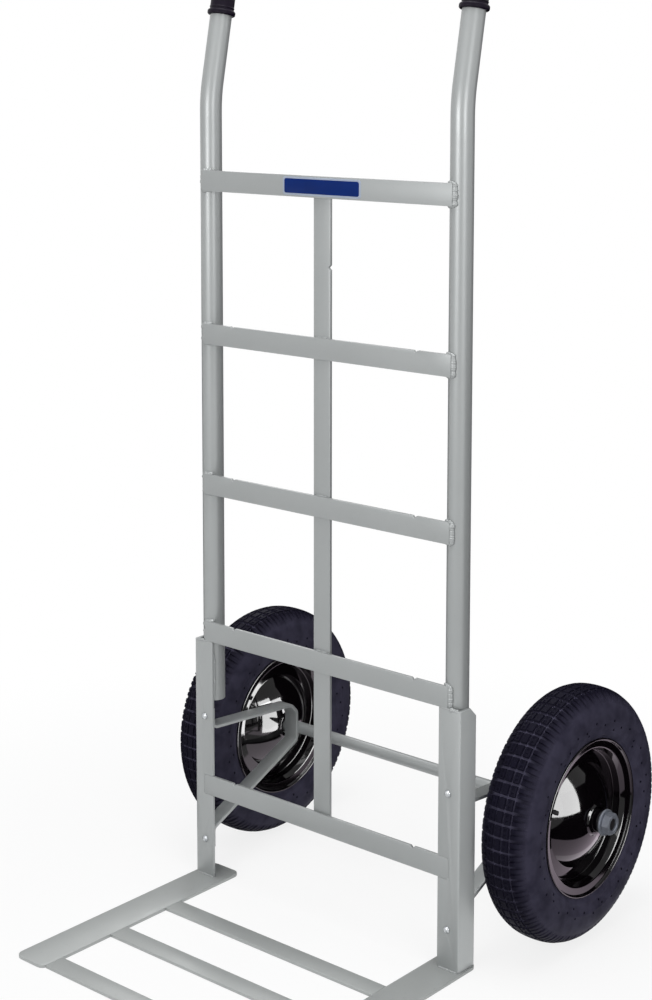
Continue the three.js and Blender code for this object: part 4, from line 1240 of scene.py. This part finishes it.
# %% Axle with its threaded ends
axle_origin = Vector((0.0, axle_y, axle_z))
BAR_END, THREAD_START, AXLE_END, AXLE_PITCH, AXLE_CUT = 363.8, 363.0, 376.6, 2.0, 1.1
NUT_FLATS, NUT_BORE, NUT_START, NUT_HEIGHT = 28.5, 9.3, 367.6, 12.0
axle_outline = [(0.0, -BAR_END), (AXLE_RADIUS, -BAR_END), (AXLE_RADIUS, BAR_END), (0.0, BAR_END)]
axle_bar = turned("axle_bar_steel", rounded_outline(axle_outline, 0.6), axle_origin, (1.0, 0.0, 0.0), 64)
dress(axle_bar, "frame", "frame_paint", frame_paint, ["axle"])
for side, sign in side_sign.items():
    direction = Vector((sign, 0.0, 0.0))
    rows = thread_rows(THREAD_RADIUS, THREAD_START, AXLE_END, AXLE_PITCH, AXLE_CUT, axle_origin, direction)
    thread = mesh_piece(side + "_axle_thread", lambda work: grid_faces(work, rows, False, True), 50.0)
    # The near-black thread is painted shade for the recess inside the nut.
    dress(thread, "frame", "zinc", cut_steel)
    name = side + "_axle_nut"
    wheel_nut = nut(name + "_zinc", NUT_FLATS, NUT_BORE, NUT_START, NUT_HEIGHT, axle_origin, direction)
    dress(wheel_nut, "frame", "zinc", dull_zinc, [name])
print("axle is", round(2 * AXLE_END), "mm long over its threads")

# %% [markdown]
# ## Bracket bolts
#
# Each axle bracket is held to its foot angle by two bolts with low round heads in front, and a washer and
# a nut behind. Head and shank are one turned outline, and the thread starts inside the end of the shank.

# %% Bolt the brackets
BOLT_RADIUS, HEAD_RADIUS, HEAD_HEIGHT, HEAD_GAP = 3.0, 5.3, 3.3, 0.2
STRAP_X, STACK_DEPTH, BOLT_END = 240.8, 10.0, 19.1
BOLT_HOLE = BOLT_RADIUS + SHAFT_GAP
bolt_heights = {"upper": 268.0, "lower": 65.0}
along_y = Vector((0.0, 1.0, 0.0))
head_outline = [(0.0, -HEAD_GAP - HEAD_HEIGHT)]
for angle in (0.25, 0.5, 0.75, 1.0, 1.25, 1.45):
    head_outline.append((HEAD_RADIUS * math.sin(angle), -HEAD_GAP - HEAD_HEIGHT * math.cos(angle)))
head_outline += [(HEAD_RADIUS, -HEAD_GAP), (BOLT_RADIUS, -HEAD_GAP)]
head_outline += [(BOLT_RADIUS, STACK_DEPTH), (0.0, STACK_DEPTH)]


def build_bolt(work, origin):
    grid_faces(work, turned_rows(head_outline, origin, along_y, 48), True, True)
    rows = thread_rows(BOLT_RADIUS, STACK_DEPTH - 1.0, BOLT_END, 1.0, 0.5, origin, along_y, 30)
    grid_faces(work, rows, False, True)


for side, sign in side_sign.items():
    for level, height in bolt_heights.items():
        name = side + "_" + level + "_bracket"
        origin = Vector((sign * STRAP_X * MM, front_y, height * MM))
        bolt = mesh_piece(name + "_bolt_zinc", lambda work: build_bolt(work, origin))
        dress(bolt, "frame", "zinc", zinc_plate, [name + "_bolt"])
        outline = ring_outline(BOLT_HOLE, 6.0, STACK_DEPTH + 0.2, STACK_DEPTH + 1.8)
        washer = turned(name + "_washer_zinc", rounded_outline(outline, 0.3), origin, along_y, 48)
        dress(washer, "frame", "zinc", zinc_plate, [name + "_washer"])
        small_nut = nut(name + "_nut_zinc", 10.0, BOLT_HOLE, STACK_DEPTH + 2.0, 5.0, origin, along_y)
        dress(small_nut, "frame", "zinc", zinc_plate, [name + "_nut"])
print("bracket bolts:", len(side_sign) * len(bolt_heights), "each with a washer and a nut")

# %% [markdown]
# ## Valves
#
# Each inner tube is filled through a rubber valve that leans out of the rim's well. It has a thick rubber
# foot, a slimmer stem and a round cap, all in one turned outline. The inner tube itself is hidden inside
# the tyre, so its plain solid stays and only gets the rubber finish.

# %% Valves and inner tubes
VALVE_RADIUS, VALVE_REACH = 95.0, 6.5
valve_outline = [(0.0, -19.0), (4.0, -19.0), (4.0, 10.0, 1.5), (3.4, 18.6, 0.8), (2.7, 19.2), (2.7, 21.0)]
valve_outline += [(3.4, 21.2), (3.4, 27.2, 0.9), (0.0, 28.0)]
for side, sign in side_sign.items():
    centre = wheel_centre[side + "_wheel"]
    stem_low, stem_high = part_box(side + "_valve_stem")
    middle = (stem_low + stem_high) / 2
    spoke = Vector((0.0, middle.y - centre.y, middle.z - centre.z)).normalized()
    outward = Vector((sign, 0.0, 0.0))
    foot = centre + spoke * (VALVE_RADIUS * MM) + outward * (VALVE_REACH * MM)
    direction = (outward - spoke).normalized()
    valve = turned(side + "_valve_rubber", rounded_outline(valve_outline, 0.3), foot, direction, 32)
    dress(valve, side + "_wheel", "tube_rubber", tube_rubber, [side + "_valve_stem"])
    inner_tube = frame["nodes"][side + "_inner_tube"]
    inner_tube.data.materials.clear()
    inner_tube.data.materials.append(tube_rubber)
    print(valve.name, "stands at", [round(v, 3) for v in middle])

# %% [markdown]
# ## Weld beads
#
# A ladder frame is held together by short fillet welds. A bead is a lumpy half-round cord, with a faint
# ripple every three millimetres or so where the torch moved on, and it is painted over with the rest.
# Each bead is swept along a short line, its radius changed by a wave and by noise, and it fades out at
# both ends.

# %% Sweep a bead
RING_STEP, LEAST_RADIUS = 0.45, 1e-5


def place_on_line(line, goal):
    """The point at a distance along a line of points, and the direction of the line there."""
    run = 0.0
    for a, b in zip(line, line[1:]):
        length = (b - a).length
        if run + length >= goal:
            return a.lerp(b, (goal - run) / length), (b - a).normalized()
        run += length
    return line[-1], (line[-1] - line[-2]).normalized()


def add_bead(work, points, radius, seed, sides=12, wide=1.0, lumps=0.35):
    """A lumpy bead of a radius in millimetres along points in metres. Wide stretches it sideways."""
    line = [Vector(point) for point in points]
    total = sum((b - a).length for a, b in zip(line, line[1:]))
    steps = max(8, int(total / (RING_STEP * MM)))
    rows = []
    for i in range(steps + 1):
        goal = total * i / steps
        place, way = place_on_line(line, goal)
        across = way.orthogonal().normalized()
        up = way.cross(across)
        ripple = 1.0 + 0.04 * math.sin(goal / MM * 1.9 + seed)
        lump = 1.0 + lumps * noise.noise(Vector((goal / MM * 0.16, seed, 0.0)))
        fade = math.sqrt(max(0.0, 1 - (2 * i / steps - 1) ** 6))
        size = max(radius * MM * ripple * lump * fade, LEAST_RADIUS)
        turns = [2 * math.pi * k / sides for k in range(sides)]
        spokes = [(across * math.cos(t) + up * math.sin(t)) * size for t in turns]
        rows.append([place + Vector((spoke.x * wide, spoke.y, spoke.z)) for spoke in spokes])
    grid_faces(work, [[rows[0][0]] * sides] + rows + [[rows[-1][0]] * sides], False, True)


def frame_point(reach, depth, height):
    """A point in metres from millimetres: how far to the right, behind the bars' front, and up."""
    return Vector((reach * MM, front_y + depth * MM, height * MM))


print("a bead has one ring of points every", RING_STEP, "mm")

# %% [markdown]
# ## Where the frame is welded
#
# Each of the upper four crossbars meets a tube with one wide bead down its end, and with a thinner one
# along its upper and its lower edge that follows the tube's round. The centre bar is tacked to them. The
# foot angles are welded to the toe plate, to the tubes and to the low crossbar, and the brackets to the
# axle.

# %% Weld the crossbars
ARC_START, ARC_STEP, ARC_POINTS = 1.0, 2.8, 6
bar_edges = {name: [corner.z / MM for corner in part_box(name)] for name in crossbar_nodes[:4]}
tube_reach = tube_x / MM


def edge_arc(sign, height):
    """Points along a bar's edge that follow the round of the tube behind it."""
    points = []
    for k in range(ARC_POINTS):
        across = ARC_START - ARC_STEP * k
        depth = TUBE_RADIUS - math.sqrt(TUBE_RADIUS ** 2 - across ** 2)
        points.append(frame_point(sign * (tube_reach + across), 4.0 + depth, height))
    return points


def build_bar_welds(work):
    for count, (name, (low, high)) in enumerate(bar_edges.items()):
        for sign in (-1.0, 1.0):
            end = sign * (tube_reach - 0.2)
            line = [frame_point(end, 4.3, low - 1.5), frame_point(end, 4.3, high + 1.5)]
            add_bead(work, line, 3.7, count * 3 + sign, sides=20, wide=1.5, lumps=0.4)
            for height, shift in ((high, -0.14), (low, 0.14)):
                seed = count * 7 + sign + height * MM
                add_bead(work, edge_arc(sign, height + shift), 2.9, seed, sides=16, lumps=0.5)
        if name != "crossbar_top":
            line = [frame_point(-11.0, 4.6, high + 0.2), frame_point(10.0, 4.6, high + 0.2)]
            add_bead(work, line, 1.5, count)
        line = [frame_point(-12.0, 5.0, low - 0.2), frame_point(12.0, 5.0, low - 0.2)]
        add_bead(work, line, 1.6, count + 9)


for name, edges in bar_edges.items():
    print(name, "is welded from", round(edges[0], 1), "to", round(edges[1], 1), "mm above the floor")

# %% Weld the feet and the axle
# Each row has a start and an end as (reach, depth, height), the bead's radius and its seed.
foot_welds = {
    "angle to toe plate, in front": ((225.0, 0.1, 5.3), (259.0, 0.1, 5.3), 1.6, 0.0),
    "angle to toe plate, outside": ((258.0, 6.0, 5.4), (258.0, 36.0, 5.4), 2.2, 2.0),
    "angle to tube, outside": ((255.4, 32.5, 300.0), (255.4, 32.5, 372.0), 2.4, 4.0),
    "angle to tube, inside": ((226.0, 6.6, 300.0), (226.0, 6.6, 372.0), 2.4, 6.0),
    "top of the angle to tube": ((227.0, 0.9, 391.9), (243.0, 0.9, 391.9), 1.3, 8.0),
    "low crossbar, lower edge": ((239.0, 0.4, 141.6), (244.0, 0.4, 141.6), 0.9, 141.6),
    "low crossbar, upper edge": ((239.0, 0.4, 171.2), (244.0, 0.4, 171.2), 0.9, 171.2),
}
STRAP_HALF, AXLE_WELD_RISE = 11.5, 5.4


def build_foot_welds(work):
    for sign in (-1.0, 1.0):
        mirror = Matrix.Diagonal((sign, 1.0, 1.0))
        for start, end, radius, seed in foot_welds.values():
            add_bead(work, [mirror @ frame_point(*start), mirror @ frame_point(*end)], radius, sign + seed)
        corner = [mirror @ frame_point(241.0, 2.4, 391.6), mirror @ frame_point(257.0, 2.8, 390.4)]
        add_bead(work, corner, 3.3, sign + 11, sides=16, lumps=0.6)


def build_axle_welds(work):
    y = axle_y - (AXLE_RADIUS - 1.0) * MM
    for sign in (-1.0, 1.0):
        near, far = sign * (STRAP_X - STRAP_HALF) * MM, sign * (STRAP_X + STRAP_HALF) * MM
        for rise in (-AXLE_WELD_RISE, AXLE_WELD_RISE):
            z = axle_z + rise * MM
            add_bead(work, [(near, y, z), (far, y, z)], 2.4, sign + rise)


weld_groups = {"crossbar_welds": build_bar_welds, "foot_welds": build_foot_welds}
weld_groups["axle_welds"] = build_axle_welds
for name, build in weld_groups.items():
    beads = mesh_piece(name, build, 80.0)
    dress(beads, "frame", "frame_paint", frame_paint)
    print(name, len(beads.data.polygons), "faces")

# %% [markdown]
# ## The plate on the top crossbar
#
# The top crossbar carries a small enamelled plate. It is left blank here: a blue face with a pale border,
# glued flat on the steel. A thin box would show sharp corners and a knife edge, so each layer is an
# outline with round corners, carried back from a bevelled front.

# %% Blank plate
PLATE_X, PLATE_Z, PLATE_BEVEL, CORNER_STEPS = 3.0, 1120.2, 0.25, 8
# Each layer: width, height, corner radius, depth, how far it stands before the bar, and its finish.
plate_layers = {
    "blank_plate_border": (149.0, 27.0, 4.4, 0.5, 0.5, plate_edge),
    "blank_plate_face": (142.5, 21.5, 3.4, 0.4, 0.9, plate_enamel),
}


def rounded_plate(work, width, height, corner, depth, lift):
    """A thin plate in front of the bar. Its front edge is bevelled."""
    outline = []
    for quarter, (sx, sz) in enumerate(((1, 1), (-1, 1), (-1, -1), (1, -1))):
        for k in range(CORNER_STEPS + 1):
            turn = math.pi / 2 * (quarter + k / CORNER_STEPS)
            x = sx * (width / 2 - corner) + corner * math.cos(turn)
            z = sz * (height / 2 - corner) + corner * math.sin(turn)
            outline.append((x, z))
    rows = []
    for grow, back in ((0.0, depth), (0.0, PLATE_BEVEL), (-PLATE_BEVEL, 0.0)):
        kx, kz = (width + 2 * grow) / width, (height + 2 * grow) / height
        rows.append([frame_point(PLATE_X + x * kx, back - lift, PLATE_Z + z * kz) for x, z in outline])
    table = grid_faces(work, rows, False, True)
    work.faces.new(table[0])
    work.faces.new(table[-1])


for name, (width, height, corner, depth, lift, finish) in plate_layers.items():
    plate = mesh_piece(name, lambda work: rounded_plate(work, width, height, corner, depth, lift))
    dress(plate, "frame", "frame_paint", finish)
    print(name, "is", round(plate.dimensions.x * 1000, 1), "mm wide")

# %% [markdown]
# ## The size of the dressed model
#
# Dressing the truck must not change its size. The box of the dressed model and the box of the solids are
# printed side by side.

# %% Print the sizes
dressed_low, dressed_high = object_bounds()
boxes = {"cad": [list(solid_low), list(solid_high)], "visual": [list(dressed_low), list(dressed_high)]}
for axis, *edges in zip("XYZ", solid_low, solid_high, dressed_low, dressed_high):
    print(axis, "low and high, of the solids and then dressed:", [round(edge, 4) for edge in edges])
